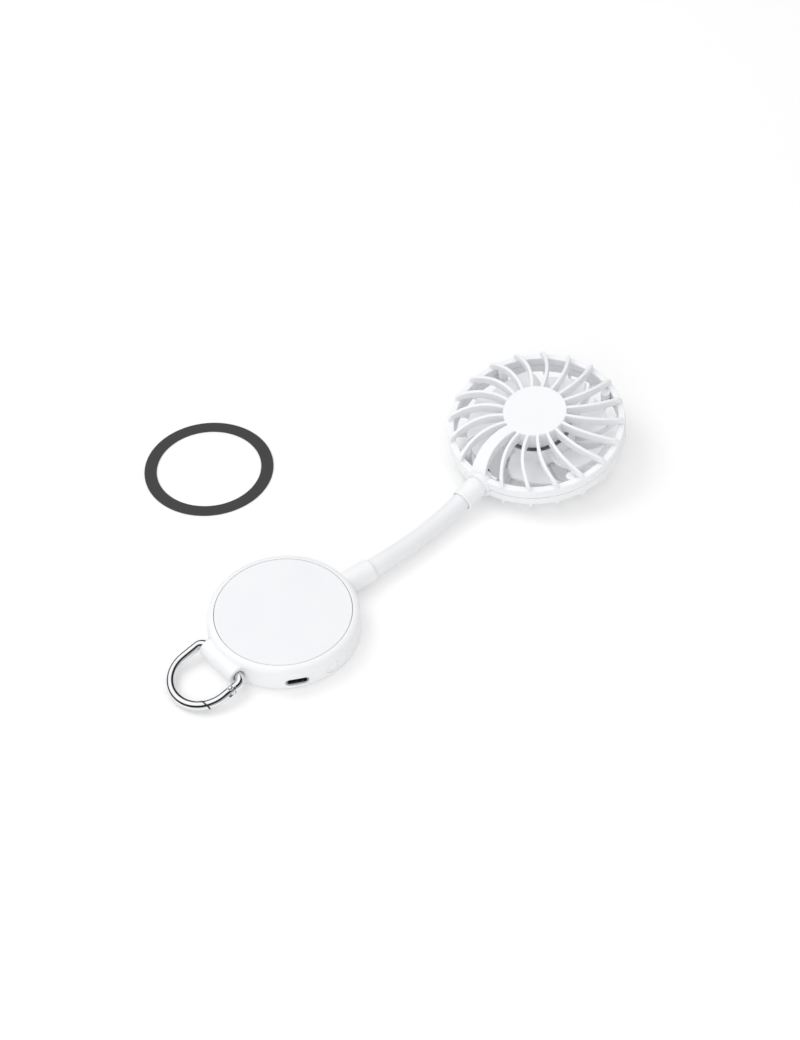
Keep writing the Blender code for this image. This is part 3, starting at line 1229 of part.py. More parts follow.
def make_motor(steel, magnet, black, brass, copper, head, spin_empty):
    """A small brushed motor: can, cap, bush and magnet stay, armature and shaft turn."""
    can_top = MOTOR_TOP - MOTOR_CAP - GAP
    inner = MOTOR_RADIUS - MOTOR_SKIN
    bush_hole = BUSH_RADIUS + GAP
    turned("motor_can", [
        (MOTOR_RADIUS, can_top), (MOTOR_RADIUS, MOTOR_BOTTOM + FINE_EDGE),
        (MOTOR_RADIUS - FINE_EDGE, MOTOR_BOTTOM), (bush_hole, MOTOR_BOTTOM),
        (bush_hole, MOTOR_BOTTOM + MOTOR_SKIN), (inner, MOTOR_BOTTOM + MOTOR_SKIN),
        (inner, can_top)], BARREL_STEPS, steel, head, closed=True)
    cap_boss = MOTOR_CAP * 2
    shaft_bore = SHAFT_RADIUS + SHAFT_RUNNING_GAP
    turned("motor_end_cap", [
        (MOTOR_RADIUS, MOTOR_TOP), (MOTOR_RADIUS, MOTOR_TOP - MOTOR_CAP),
        (BUSH_RADIUS, MOTOR_TOP - MOTOR_CAP), (BUSH_RADIUS, MOTOR_TOP - cap_boss),
        (shaft_bore, MOTOR_TOP - cap_boss), (shaft_bore, MOTOR_TOP)],
        BARREL_STEPS, black, head, closed=True)
    turned("motor_bush", [
        (BUSH_RADIUS, MOTOR_BOTTOM + BUSH_LENGTH), (BUSH_RADIUS, MOTOR_BOTTOM),
        (shaft_bore, MOTOR_BOTTOM), (shaft_bore, MOTOR_BOTTOM + BUSH_LENGTH)],
        PIN_STEPS, brass, head, closed=True)
    magnet_outer = inner - GAP
    magnet_low = MOTOR_BOTTOM + MOTOR_SKIN + GAP
    turned("motor_magnet", [
        (magnet_outer, can_top - GAP), (magnet_outer, magnet_low),
        (magnet_outer - MAGNET_SLEEVE, magnet_low),
        (magnet_outer - MAGNET_SLEEVE, can_top - GAP)],
        BARREL_STEPS, magnet, head, closed=True)
    core_low = MOTOR_BOTTOM + BUSH_LENGTH + GAP
    core_top = core_low + ARMATURE_LENGTH
    hole = SHAFT_RADIUS + GAP / 2
    armature = turned("motor_armature", [
        (hole, core_top + COMMUTATOR_LENGTH), (COMMUTATOR_RADIUS, core_top + COMMUTATOR_LENGTH),
        (COMMUTATOR_RADIUS, core_top), (ARMATURE_RADIUS, core_top),
        (ARMATURE_RADIUS, core_low), (hole, core_low)],
        BARREL_STEPS, copper, spin_empty, closed=True)
    slots = bmesh.new()
    for number in range(ARMATURE_SLOTS):
        turn = Matrix.Rotation(2 * math.pi * number / ARMATURE_SLOTS, 4, "Z")
        add_box(slots, (COMMUTATOR_RADIUS + GAP, -ARMATURE_SLOT / 2, core_low - OVERRUN),
                (ARMATURE_RADIUS + OVERRUN, ARMATURE_SLOT / 2, core_top + OVERRUN), turn)
    boolean(armature, add_helper("armature_slots", mesh_of(slots), spin_empty),
            "DIFFERENCE")
    shaft_top = MOTOR_TOP - GAP
    shaft_low = CUP_BOTTOM + CUP_WALL / 2
    turned("motor_shaft", [
        (0, shaft_top), (SHAFT_RADIUS, shaft_top), (SHAFT_RADIUS, shaft_low),
        (0, shaft_low)], PIN_STEPS, steel, spin_empty)


def blade_mesh():
    """One twisted blade: a grid bent round the hub, then given its thickness."""
    shape = bmesh.new()
    bmesh.ops.create_grid(shape, x_segments=BLADE_GRID, y_segments=BLADE_GRID, size=0.5)
    root = CUP_RADIUS - CUP_WALL / 2
    for point in shape.verts:
        out = point.co.x + 0.5
        chord = point.co.y + 0.5
        radius = root + (BLADE_TIP_RADIUS - root) * out
        top = BLADE_ROOT_TOP + (BLADE_TIP_TOP - BLADE_ROOT_TOP) * out
        height = BLADE_ROOT_HEIGHT + (BLADE_TIP_HEIGHT - BLADE_ROOT_HEIGHT) * out
        angle = math.radians(BLADE_SWEEP * out * out + BLADE_WRAP * (chord - 0.5))
        drop = height * chord + 4 * BLADE_CAMBER * chord * (1 - chord)
        point.co = (radius * math.cos(angle), radius * math.sin(angle), top - drop)
    bmesh.ops.recalc_face_normals(shape, faces=shape.faces)
    bmesh.ops.solidify(shape, geom=shape.faces, thickness=BLADE_THICKNESS)
    return shape


def make_impeller(plastic, spin_empty):
    """An open cup over the motor's end, carrying the blades."""
    inner = CUP_RADIUS - CUP_WALL
    floor = CUP_BOTTOM + CUP_WALL
    boss_top = floor + CUP_BOSS_HEIGHT
    hole = SHAFT_RADIUS + GAP / 2
    hole_floor = CUP_BOTTOM + CUP_WALL / 4
    impeller = turned("impeller", [
        (0, hole_floor), (hole, hole_floor), (hole, boss_top), (CUP_BOSS_RADIUS, boss_top),
        (CUP_BOSS_RADIUS, floor), (inner, floor), (inner, CUP_TOP), (CUP_RADIUS, CUP_TOP),
        (CUP_RADIUS, CUP_BOTTOM + FINE_EDGE), (CUP_RADIUS - FINE_EDGE, CUP_BOTTOM),
        (0, CUP_BOTTOM)], BARREL_STEPS, plastic, spin_empty)
    blades = bmesh.new()
    for number in range(BLADE_COUNT):
        blade = blade_mesh()
        turn = Matrix.Rotation(2 * math.pi * number / BLADE_COUNT, 4, "Z")
        bmesh.ops.transform(blade, matrix=turn, verts=blade.verts)
        passing = bpy.data.meshes.new("blade")
        blade.to_mesh(passing)
        blade.free()
        blades.from_mesh(passing)
        bpy.data.meshes.remove(passing)
    boolean(impeller, add_helper("blades", mesh_of(blades), spin_empty), "UNION")


def make_mounting_ring(matt):
    """The loose ring, lying beside the fan."""
    edge = RING_THICKNESS / 4
    inner = RING_RADIUS - RING_WIDTH
    turned("mounting_ring", [
        (RING_RADIUS - edge, RING_THICKNESS), (RING_RADIUS, RING_THICKNESS - edge),
        (RING_RADIUS, 0), (inner, 0), (inner, RING_THICKNESS - edge),
        (inner + edge, RING_THICKNESS)], DISC_STEPS, matt, closed=True,
        local=Matrix.Translation((RING_X, RING_Y, 0)))


def make_fan():
    make_base_housing(WHITE_PLASTIC)
    make_panel(WHITE_PANEL)
    make_magnets(NICKEL, STEEL)
    make_battery(FOIL, RED_COAT, BLACK_PLASTIC)
    make_board(GREEN_BOARD)
    make_board_screws(STEEL)
    make_charging_socket(STEEL, BLACK_PLASTIC)
    make_power_button(WHITE_PLASTIC, BLACK_PLASTIC, STEEL)
    make_clip(CHROME, STEEL)
    last_link, last_frame = make_neck(SILICONE)
    make_anchor(BRASS)

    outward, sideways, facing = head_axes()
    centre = neck_ends()[1] + outward * HEAD_COLLAR_REACH
    axes = Matrix((outward, sideways, facing)).transposed().to_4x4()
    head_world = Matrix.Translation(centre) @ axes
    head = new_empty("head_frame", last_frame.inverted() @ head_world, last_link)
    spin_empty = new_empty("impeller_axis", parent=head)
    make_core_and_leads(head_world, STEEL, RED_COAT, BLACK_PLASTIC)
    make_cage("front_grille", 1, WHITE_PLASTIC, head)
    make_cage("rear_grille", -1, WHITE_PLASTIC, head)
    make_head_screws(STEEL, head)
    make_head_collar(WHITE_PLASTIC, head)
    make_motor(MOTOR_STEEL, FERRITE, BLACK_PLASTIC, BRASS, COPPER, head, spin_empty)
    make_impeller(WHITE_PLASTIC, spin_empty)
    make_mounting_ring(BLACK_MATT)


make_fan()
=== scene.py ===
# %% [markdown]
# # A rechargeable handheld fan, dressed in Blender
#
# The fan is a round magnetic base with a key-ring clip, a bendable neck and a small
# caged fan head. A thin black mounting ring lies beside it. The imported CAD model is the
# frame: it says where every piece is and which pieces move together. Each cell below
# makes one piece or one finish in that frame, in metres.

# %% Load the frame
import json
import math

import bmesh
import bpy
from mathutils import Matrix, Vector

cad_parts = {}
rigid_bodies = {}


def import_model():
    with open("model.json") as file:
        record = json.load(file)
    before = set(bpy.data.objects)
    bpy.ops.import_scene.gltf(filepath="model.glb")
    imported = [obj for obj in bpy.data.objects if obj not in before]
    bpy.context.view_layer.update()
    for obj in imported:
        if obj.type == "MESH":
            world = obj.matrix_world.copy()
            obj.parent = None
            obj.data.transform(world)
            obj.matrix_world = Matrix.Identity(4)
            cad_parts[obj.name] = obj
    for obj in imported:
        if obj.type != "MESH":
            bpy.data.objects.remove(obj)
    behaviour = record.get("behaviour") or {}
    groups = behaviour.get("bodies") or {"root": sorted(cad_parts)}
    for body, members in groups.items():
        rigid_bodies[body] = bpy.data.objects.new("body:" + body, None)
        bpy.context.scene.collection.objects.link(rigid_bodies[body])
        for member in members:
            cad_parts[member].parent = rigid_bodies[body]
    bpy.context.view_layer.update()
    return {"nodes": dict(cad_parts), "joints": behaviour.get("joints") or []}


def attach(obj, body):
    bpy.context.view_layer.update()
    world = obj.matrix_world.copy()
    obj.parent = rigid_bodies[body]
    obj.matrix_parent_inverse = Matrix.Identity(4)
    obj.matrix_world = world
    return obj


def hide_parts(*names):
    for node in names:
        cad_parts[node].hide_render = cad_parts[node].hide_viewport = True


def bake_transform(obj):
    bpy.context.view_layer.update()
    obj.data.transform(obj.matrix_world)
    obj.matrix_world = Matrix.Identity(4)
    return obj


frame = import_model()
MM = 0.001
UP = Vector((0, 0, 1))


def placed(name, data):
    """A new object in the scene."""
    thing = bpy.data.objects.new(name, data)
    bpy.context.scene.collection.objects.link(thing)
    return thing


# %% [markdown]
# The camera stands where the photographer stood: half-way up in front of the table, with
# a long lens, so the round base looks like a gentle ellipse. A camera looks along its own
# -Z, so its matrix is built from its right, up and backward directions. The slight roll
# is part of the photograph.

# %% Camera
CAMERA_PLACE = Vector((-275.3, -452.5, 633.4)) * MM
CAMERA_TARGET = Vector((73.4, 18.7, 0.0)) * MM
CAMERA_ROLL = math.radians(-1.95)
PHOTO_HEIGHT = 1040
FOCAL_PIXELS = 2040
SENSOR = 36.0


def add_camera():
    forward = (CAMERA_TARGET - CAMERA_PLACE).normalized()
    right = forward.cross(UP).normalized()
    upward = right.cross(forward)
    axes = Matrix((right, upward, -forward)).transposed().to_4x4()
    lens = bpy.data.cameras.new("photograph")
    lens.sensor_fit = "VERTICAL"
    lens.sensor_height = SENSOR
    lens.sensor_width = SENSOR
    lens.lens = SENSOR * FOCAL_PIXELS / PHOTO_HEIGHT
    camera = placed("photograph", lens)
    camera.matrix_world = (Matrix.Translation(CAMERA_PLACE) @ axes
                           @ Matrix.Rotation(CAMERA_ROLL, 4, "Z"))
    bpy.context.scene.camera = camera
    return lens.lens


print("lens", round(add_camera(), 2), "mm")

# %% [markdown]
# A white product on white needs light from all sides, and a little more from above, or
# its edges disappear. The world gives that light: dim at the horizon, bright overhead.
# Polished chrome shows what stands round it, and in a plain white room it would vanish,
# so photographers place dark cards. Here the rays that a mirror sends out meet another
# sky: a bright window behind the fan, a dark ring round it and grey walls, which draw the
# dark lines along the clip. One soft lamp at the back left makes the faint shadows to the
# right, and a weaker one at the front left fills the near sides.

# %% Light
SKY_STOPS = ((0.0, 0.29), (1.0, 1.08))       # height of the direction, light
MIRROR_AXIS = (-0.211, 0.366, 0.906)         # the middle of the mirrored window
MIRROR_STOPS = ((0.0, 0.5), (0.10, 0.5), (0.28, 0.03), (0.76, 0.02), (0.84, 0.95),
                (0.92, 1.15))                # nearness to that direction, light
LAMPS = {"back_window": ((-0.35, 0.75, 1.25), 0.9, 5.0),
         "front_fill": ((-1.1, -0.75, 0.7), 1.2, 4.5)}       # place, size, power
LAMP_TARGET = Vector((0.08, 0.0, 0.0))


def set_stops(ramp, stops):
    for _ in stops[2:]:
        ramp.elements.new(0.5)
    for element, (place, colour) in zip(ramp.elements, stops):
        element.position = place
        element.color = (*colour, 1.0)


def sky_light(tree, axis, stops):
    """A light that changes with how near a direction is to an axis."""
    nearness = tree.nodes.new("ShaderNodeVectorMath")
    nearness.operation = "DOT_PRODUCT"
    nearness.inputs[1].default_value = axis
    place = tree.nodes.new("ShaderNodeTexCoord")
    tree.links.new(place.outputs["Generated"], nearness.inputs[0])
    light = tree.nodes.new("ShaderNodeValToRGB")
    set_stops(light.color_ramp, [(level, (strength,) * 3) for level, strength in stops])
    tree.links.new(nearness.outputs["Value"], light.inputs["Fac"])
    return light.outputs["Color"]


def add_sky():
    world = bpy.data.worlds.new("studio")
    world.use_nodes = True
    tree = world.node_tree
    chosen = tree.nodes.new("ShaderNodeMix")
    chosen.data_type = "RGBA"
    plain, mirrored = [socket for socket in chosen.inputs if socket.type == "RGBA"]
    path = tree.nodes.new("ShaderNodeLightPath")
    tree.links.new(path.outputs["Is Glossy Ray"], chosen.inputs["Factor"])
    tree.links.new(sky_light(tree, UP, SKY_STOPS), plain)
    tree.links.new(sky_light(tree, MIRROR_AXIS, MIRROR_STOPS), mirrored)
    result = [socket for socket in chosen.outputs if socket.type == "RGBA"][0]
    tree.links.new(result, tree.nodes["Background"].inputs["Color"])
    bpy.context.scene.world = world


def add_lamp(name, place, size, power):
    lamp = bpy.data.lights.new(name, "AREA")
    lamp.shape = "SQUARE"
    lamp.size = size
    lamp.energy = power
    holder = placed(name, lamp)
    turn = (LAMP_TARGET - Vector(place)).to_track_quat("-Z", "Y").to_matrix().to_4x4()
    holder.matrix_world = Matrix.Translation(place) @ turn
    holder.visible_glossy = False


bpy.context.scene.view_settings.view_transform = "Standard"
add_sky()
for name, lamp in LAMPS.items():
    add_lamp(name, *lamp)
print("sky and lamps", list(LAMPS))

# %% [markdown]
# Materials are written as small expressions. `Wire` wraps the output of a node, and
# adding or multiplying wires adds Math nodes, so `1 - mask` means what it says. Every
# other node comes from the one method `node` of `Finish`.

# %% Shader helpers


class Wire:
    """The output of a node. Arithmetic on it adds Math nodes."""

    def __init__(self, finish, socket):
        self.finish = finish
        self.socket = socket

    def math(self, operation, first, second):
        return self.finish.node("ShaderNodeMath", {"operation": operation},
                                {0: first, 1: second})

    def __add__(self, other):
        return self.math("ADD", self, other)

    __radd__ = __add__

    def __sub__(self, other):
        return self.math("SUBTRACT", self, other)

    def __rsub__(self, other):
        return self.math("SUBTRACT", other, self)

    def __mul__(self, other):
        return self.math("MULTIPLY", self, other)

    __rmul__ = __mul__

    def __gt__(self, other):
        return self.math("GREATER_THAN", self, other)


class Finish:
    """A material being made: its nodes, and its Principled shader."""

    def __init__(self, name, **constants):
        self.material = bpy.data.materials.new(name)
        self.material.use_nodes = True
        self.tree = self.material.node_tree
        self.shader = self.tree.nodes["Principled BSDF"]
        for socket, value in constants.items():
            self.shader.inputs[socket.replace("_", " ")].default_value = value

    def plug(self, socket, value):
        if isinstance(value, Wire):
            self.tree.links.new(value.socket, socket)
        else:
            socket.default_value = value

    def node(self, kind, settings=None, values=None, output=0):
        made = self.tree.nodes.new(kind)
        for name, value in (settings or {}).items():
            if name == "stops":
                set_stops(made.color_ramp, value)
            else:
                setattr(made, name, value)
        for name, value in (values or {}).items():
            self.plug(made.inputs[name], value)
        return Wire(self, made.outputs[output])

    def place(self):
        return self.node("ShaderNodeTexCoord", output="Object")

    def give(self, **inputs):
        """Link or set inputs of the Principled shader."""
        for socket, value in inputs.items():
            self.plug(self.shader.inputs[socket.replace("_", " ")], value)
        return self.material


# %% [markdown]
# Moulded plastic is never one flat value. A spark-eroded mould leaves a fine grain, the
# gloss wanders a little over the surface, and thick places look a touch warmer. Two noise
# patterns give all of that: a fine one for the grain, a broad one for the drift.

# %% Patterns
GRAIN_SCALE = 4200.0      # of noise per metre
DRIFT_SCALE = 70.0
CLOUD_SCALE = 900.0


def noise(finish, scale, detail=2.0):
    return finish.node("ShaderNodeTexNoise", {}, {
        "Vector": finish.place(), "Scale": scale, "Detail": detail})


def shades(finish, mask, low, high):
    """A colour between two, chosen by a mask from 0 to 1."""
    return finish.node("ShaderNodeValToRGB", {"stops": ((0.3, low), (0.7, high))},
                       {"Fac": mask})


def relief(finish, height, depth, strength=1.0):
    """A bump. Its depth is in millimetres."""
    return finish.node("ShaderNodeBump", {}, {
        "Height": height, "Distance": depth * MM, "Strength": strength})


# %% [markdown]
# The fan's whites are close cousins: the housings are satin ABS, slightly cool, the face
# panel a shade smoother, and the neck a soft silicone that takes a long low highlight.

# %% Plastics and rubber
PLASTICS = {              # two colours, roughness, its spread, depth of the grain
    "white_abs": ((0.905, 0.912, 0.932), (0.922, 0.928, 0.946), 0.46, 0.05, 0.004),
    "white_panel": ((0.872, 0.88, 0.903), (0.888, 0.896, 0.917), 0.36, 0.04, 0.002),
    "white_silicone": ((0.862, 0.868, 0.89), (0.88, 0.886, 0.906), 0.42, 0.06, 0.003),
    "black_plastic": ((0.018, 0.018, 0.02), (0.028, 0.028, 0.03), 0.45, 0.06, 0.004),
    "wire_red": ((0.42, 0.02, 0.015), (0.5, 0.035, 0.02), 0.4, 0.05, 0.002),
    "wire_black": ((0.016, 0.016, 0.018), (0.03, 0.03, 0.032), 0.42, 0.05, 0.002),
}


def moulded(name, low, high, roughness, spread, depth):
    """A moulded plastic or rubber: two near colours, a wandering gloss, a fine grain."""
    finish = Finish(name)
    drift = noise(finish, DRIFT_SCALE)
    grain = noise(finish, GRAIN_SCALE, 3.0)
    return finish.give(
        Base_Color=shades(finish, drift, low, high),
        Roughness=drift * spread + grain * spread + (roughness - spread),
        Normal=relief(finish, grain, depth))


FINISHES = {name: moulded(name, *look) for name, look in PLASTICS.items()}
print("plastics", sorted(PLASTICS))

# %% [markdown]
# Metals take their character from roughness, and each has a faint cloud in its colour, as
# plated and drawn surfaces do. The motor's can is lacquered a satin grey, so it is less
# metallic than the others.

# %% Metals
METALS = {                # two colours, roughness, its spread, cloud and depth, metallic
    "steel": ((0.42, 0.43, 0.45), (0.62, 0.63, 0.65), 0.34, 0.16, CLOUD_SCALE, 0.002),
    "nickel": ((0.52, 0.51, 0.49), (0.66, 0.65, 0.62), 0.24, 0.10, CLOUD_SCALE, 0.001),
    "brass": ((0.52, 0.36, 0.13), (0.68, 0.5, 0.22), 0.34, 0.14, CLOUD_SCALE, 0.002),
    "motor_steel": ((0.64, 0.64, 0.65), (0.74, 0.74, 0.75), 0.42, 0.12, CLOUD_SCALE,
                    0.002, 0.3),
    "battery_foil": ((0.36, 0.37, 0.39), (0.5, 0.51, 0.53), 0.36, 0.2, 320.0, 0.02),
}


def metal(name, low, high, roughness, spread, scale, depth, metallic=1.0):
    finish = Finish(name, Metallic=metallic)
    cloud = noise(finish, scale, 4.0)
    return finish.give(
        Base_Color=shades(finish, cloud, low, high),
        Roughness=cloud * spread + (roughness - spread / 2),
        Normal=relief(finish, cloud, depth))


FINISHES.update({name: metal(name, *look) for name, look in METALS.items()})
print("metals", sorted(METALS))

# %% [markdown]
# The remaining finishes each have one trait of their own. The circuit board is green
# lacquer with paler tracks under it. Bonded ferrite is matt and speckled. The armature is
# lacquered copper wire over steel, so its colour runs in fine threads. The mounting ring
# has a matt black powder coat, worn a little lighter in tiny specks.

# %% Board, armature, ferrite and powder coat


def board_green():
    finish = Finish("board_green", Coat_Weight=0.4)
    tracks = finish.node("ShaderNodeTexVoronoi", {"feature": "DISTANCE_TO_EDGE"}, {
        "Vector": finish.place(), "Scale": 420.0})
    line = tracks > 0.09
    return finish.give(
        Base_Color=shades(finish, line, (0.05, 0.24, 0.08), (0.012, 0.09, 0.035)),
        Roughness=noise(finish, CLOUD_SCALE) * 0.1 + 0.34,
        Normal=relief(finish, line, 0.03, 0.4))


def armature():
    finish = Finish("armature", Metallic=0.9)
    thread = finish.node("ShaderNodeTexWave", {"bands_direction": "Z"}, {
        "Vector": finish.place(), "Scale": 1100.0, "Distortion": 2.0}, 1)
    return finish.give(
        Base_Color=shades(finish, thread, (0.32, 0.13, 0.05), (0.62, 0.32, 0.15)),
        Roughness=thread * 0.15 + 0.3,
        Normal=relief(finish, thread, 0.02))


def speckled(name, low, high, scale, depth, gloss):
    finish = Finish(name, Specular_IOR_Level=gloss)
    speck = noise(finish, scale, 5.0)
    return finish.give(
        Base_Color=shades(finish, speck, low, high),
        Roughness=speck * 0.12 + 0.55,
        Normal=relief(finish, speck, depth))


FINISHES["board_green"] = board_green()
FINISHES["armature"] = armature()
FINISHES["ferrite"] = speckled("ferrite", (0.03, 0.03, 0.033), (0.06, 0.06, 0.065),
                               2600.0, 0.01, 0.5)
FINISHES["ring_black"] = speckled("ring_black", (0.049, 0.049, 0.0505),
                                  (0.060, 0.060, 0.062), 3800.0, 0.012, 0.3)
print("finishes", len(FINISHES))

# %% [markdown]
# The floor is a light table: a plain pale sheet that also glows a little, as photographers
# use to keep the shadows of white things soft. It reaches far past the view, so no edge
# shows, and it sits a hair under the fan's feet.

# %% Floor
FLOOR_HALF = 3.0
FLOOR_DROP = 0.02 * MM
FLOOR_GLOW = 0.18
FLOOR_TONES = (0.81, 0.81, 0.81), (0.82, 0.82, 0.82)


def add_floor():
    finish = Finish("floor", Roughness=0.9, Emission_Strength=FLOOR_GLOW,
                    Specular_IOR_Level=0.1)
    tone = noise(finish, 3.0)
    finish.give(Base_Color=shades(finish, tone, *FLOOR_TONES),
                Emission_Color=(1, 1, 1, 1))
    shape = bmesh.new()
    bmesh.ops.create_grid(shape, x_segments=1, y_segments=1, size=FLOOR_HALF,
                          matrix=Matrix.Translation((0, 0, -FLOOR_DROP)))
    mesh = bpy.data.meshes.new("floor")
    shape.to_mesh(mesh)
    shape.free()
    mesh.materials.append(finish.material)
    floor = placed("floor", mesh)


add_floor()
print("floor", 2 * FLOOR_HALF, "m wide")

# %% [markdown]
# Most of the fan is turned or swept, so three helpers make nearly every form. `turned`
# takes a half profile as radius, height and corner rounding, bevels its corners and spins
# it. `swept` carries a ring along a row of points. `combine` joins closed shapes, or cuts
# tools from one. `piece` gives the finished shape its name, finish and body.

# %% Shape helpers
WELD = 0.0004 * MM
FINE_STEPS = 160
ROUND_STEPS = 72
SMALL_STEPS = 36
ROUND_SEGMENTS = 4
BLOCK_SEGMENTS = 2
SHARP = math.radians(38)


def mm(*rows):
    """Rows of lengths that are written in millimetres."""
    return [tuple(value * MM for value in row) for row in rows]


def turned(profile, steps, closed=False, place=None):
    """Spin a profile of (radius, height, rounding) about +Z, then place it."""
    shape = bmesh.new()
    points = [shape.verts.new((radius, 0, height)) for radius, height, _ in profile]
    for first, second in zip(points, points[1:] + points[:1] if closed else points[1:]):
        shape.edges.new((first, second))
    for point, (_, _, rounding) in zip(points, profile):
        if rounding:
            bmesh.ops.bevel(shape, geom=[point], offset=rounding, offset_type="OFFSET",
                            segments=ROUND_SEGMENTS, profile=0.5, affect="VERTICES",
                            material=-1)
    bmesh.ops.spin(shape, geom=shape.verts[:] + shape.edges[:], cent=(0, 0, 0),
                   axis=(0, 0, 1), angle=2 * math.pi, steps=steps, use_merge=True)
    bmesh.ops.remove_doubles(shape, verts=shape.verts, dist=WELD)
    bmesh.ops.recalc_face_normals(shape, faces=shape.faces)
    return laid(shape, place)


def laid(shape, place):
    """Move and turn a shape."""
    if place is not None:
        bmesh.ops.transform(shape, matrix=place, verts=shape.verts)
    return shape


def along(axis):
    """A rotation that lays +Z on an axis."""
    return UP.rotation_difference(Vector(axis)).to_matrix().to_4x4()


def route_frames(points, radius):
    """A frame at each point of a route, carried along it without twisting."""
    frames, turn = [], None
    size = Matrix.Diagonal((radius, radius, 1, 1))
    for number, point in enumerate(points):
        before = points[max(number - 1, 0)]
        after = points[min(number + 1, len(points) - 1)]
        forward = (after - before).normalized()
        if turn is None:
            turn = UP.rotation_difference(forward).to_matrix()
        else:
            turn = (turn @ UP).rotation_difference(forward).to_matrix() @ turn
        frames.append(Matrix.Translation(point) @ turn.to_4x4() @ size)
    return frames


def skin(shape, frames, sides):
    """The open wall of a swept tube. Returns the edges of its two ends."""
    made = bmesh.ops.create_circle(shape, cap_ends=False, segments=sides, radius=1.0,
                                   matrix=frames[0])
    ring = list({edge for point in made["verts"] for edge in point.link_edges})
    first = ring
    for now, after in zip(frames, frames[1:]):
        grown = bmesh.ops.extrude_edge_only(shape, edges=ring)["geom"]
        ring = [item for item in grown if isinstance(item, bmesh.types.BMEdge)]
        points = {item for item in grown if isinstance(item, bmesh.types.BMVert)}
        bmesh.ops.transform(shape, matrix=after @ now.inverted(), verts=list(points))
        ring = [edge for edge in ring
                if edge.verts[0] in points and edge.verts[1] in points]
    return first, ring


def swept(points, radius, sides, bore=0.0):
    """A rod along a route, or a tube if it has a bore."""
    shape = bmesh.new()
    start, end = skin(shape, route_frames(points, radius), sides)
    if bore:
        inner_start, inner_end = skin(shape, route_frames(points, bore), sides)
        bmesh.ops.bridge_loops(shape, edges=start + inner_start)
        bmesh.ops.bridge_loops(shape, edges=end + inner_end)
    else:
        bmesh.ops.edgeloop_fill(shape, edges=start)
        bmesh.ops.edgeloop_fill(shape, edges=end)
    bmesh.ops.recalc_face_normals(shape, faces=shape.faces)
    return shape


def block(low, high, rounding=0.0, place=None):
    """A box between two corners, with rounded edges."""
    shape = bmesh.new()
    low, high = Vector(low), Vector(high)
    size = Matrix.Diagonal((*(high - low), 1))
    bmesh.ops.create_cube(shape, size=1.0,
                          matrix=Matrix.Translation((low + high) / 2) @ size)
    if rounding:
        bmesh.ops.bevel(shape, geom=shape.edges[:], offset=rounding, profile=0.5,
                        segments=BLOCK_SEGMENTS, affect="EDGES", material=-1)
    return laid(shape, place)


def cylinder(radius, low, high, steps, place=None):
    return turned([(0, high, 0), (radius, high, 0), (radius, low, 0), (0, low, 0)],
                  steps, place=place)


def stadium(width, height, low, high, steps, place=None):
    """A round-ended bar: a cylinder whose halves are drawn apart."""
    shape = cylinder(height / 2, low, high, steps)
    shift = (width - height) / 2
    for side in (-1, 1):
        half = [point for point in shape.verts if point.co.x * side > WELD]
        bmesh.ops.translate(shape, vec=(side * shift, 0, 0), verts=half)
    return laid(shape, place)


def mesh_from(shape, name):
    mesh = bpy.data.meshes.new(name)
    shape.to_mesh(mesh)
    shape.free()
    return mesh


def joined(*shapes):
    """Several shapes as one, without cutting."""
    whole = shapes[0]
    for shape in shapes[1:]:
        passing = mesh_from(shape, "passing")
        whole.from_mesh(passing)
        bpy.data.meshes.remove(passing)
    return whole


def combine(shape, *tools, join=False):
    """Cut tools from a shape, or join them on, and return the result."""
    for tool in tools:
        holders = [placed("work", mesh_from(work, "work")) for work in (shape, tool)]
        step = holders[0].modifiers.new("combine", "BOOLEAN")
        step.object = holders[1]
        step.operation = "UNION" if join else "DIFFERENCE"
        step.solver = "MANIFOLD"
        shape = bmesh.new()
        shape.from_object(holders[0], bpy.context.evaluated_depsgraph_get())
        for holder in holders:
            old = holder.data
            bpy.data.objects.remove(holder)
            bpy.data.meshes.remove(old)
        bmesh.ops.remove_doubles(shape, verts=shape.verts, dist=WELD)
        bmesh.ops.dissolve_degenerate(shape, dist=WELD, edges=shape.edges)
    return shape


def piece(name, shape, finish, body=None, replaces=(), weighted=True):
    """A finished piece: its mesh, finish, body, and the nodes it stands for, which it
    hides.
    """
    open_edges = sum(len(edge.link_faces) != 2 for edge in shape.edges)
    mesh = mesh_from(shape, name)
    mesh.shade_smooth()
    mesh.set_sharp_from_angle(angle=SHARP)
    mesh.materials.append(FINISHES[finish])
    made = placed(name, mesh)
    if weighted:
        made.modifiers.new("shading", "WEIGHTED_NORMAL").keep_sharp = True
    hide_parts(*replaces)
    if body:
        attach(made, body)
    print(f"{name}: {len(mesh.polygons)} faces, {open_edges} open edges")
    return made


# %% [markdown]
# The base housing is one moulding: a shallow cup with the neck's collar and the clip's
# tube on its sides. It could be modelled from a subdivided cylinder, but turning its
# profile gives exact walls and roundings at once. Collar and tube are turned on their own
# axes and joined on, and then the bores and the openings are cut.

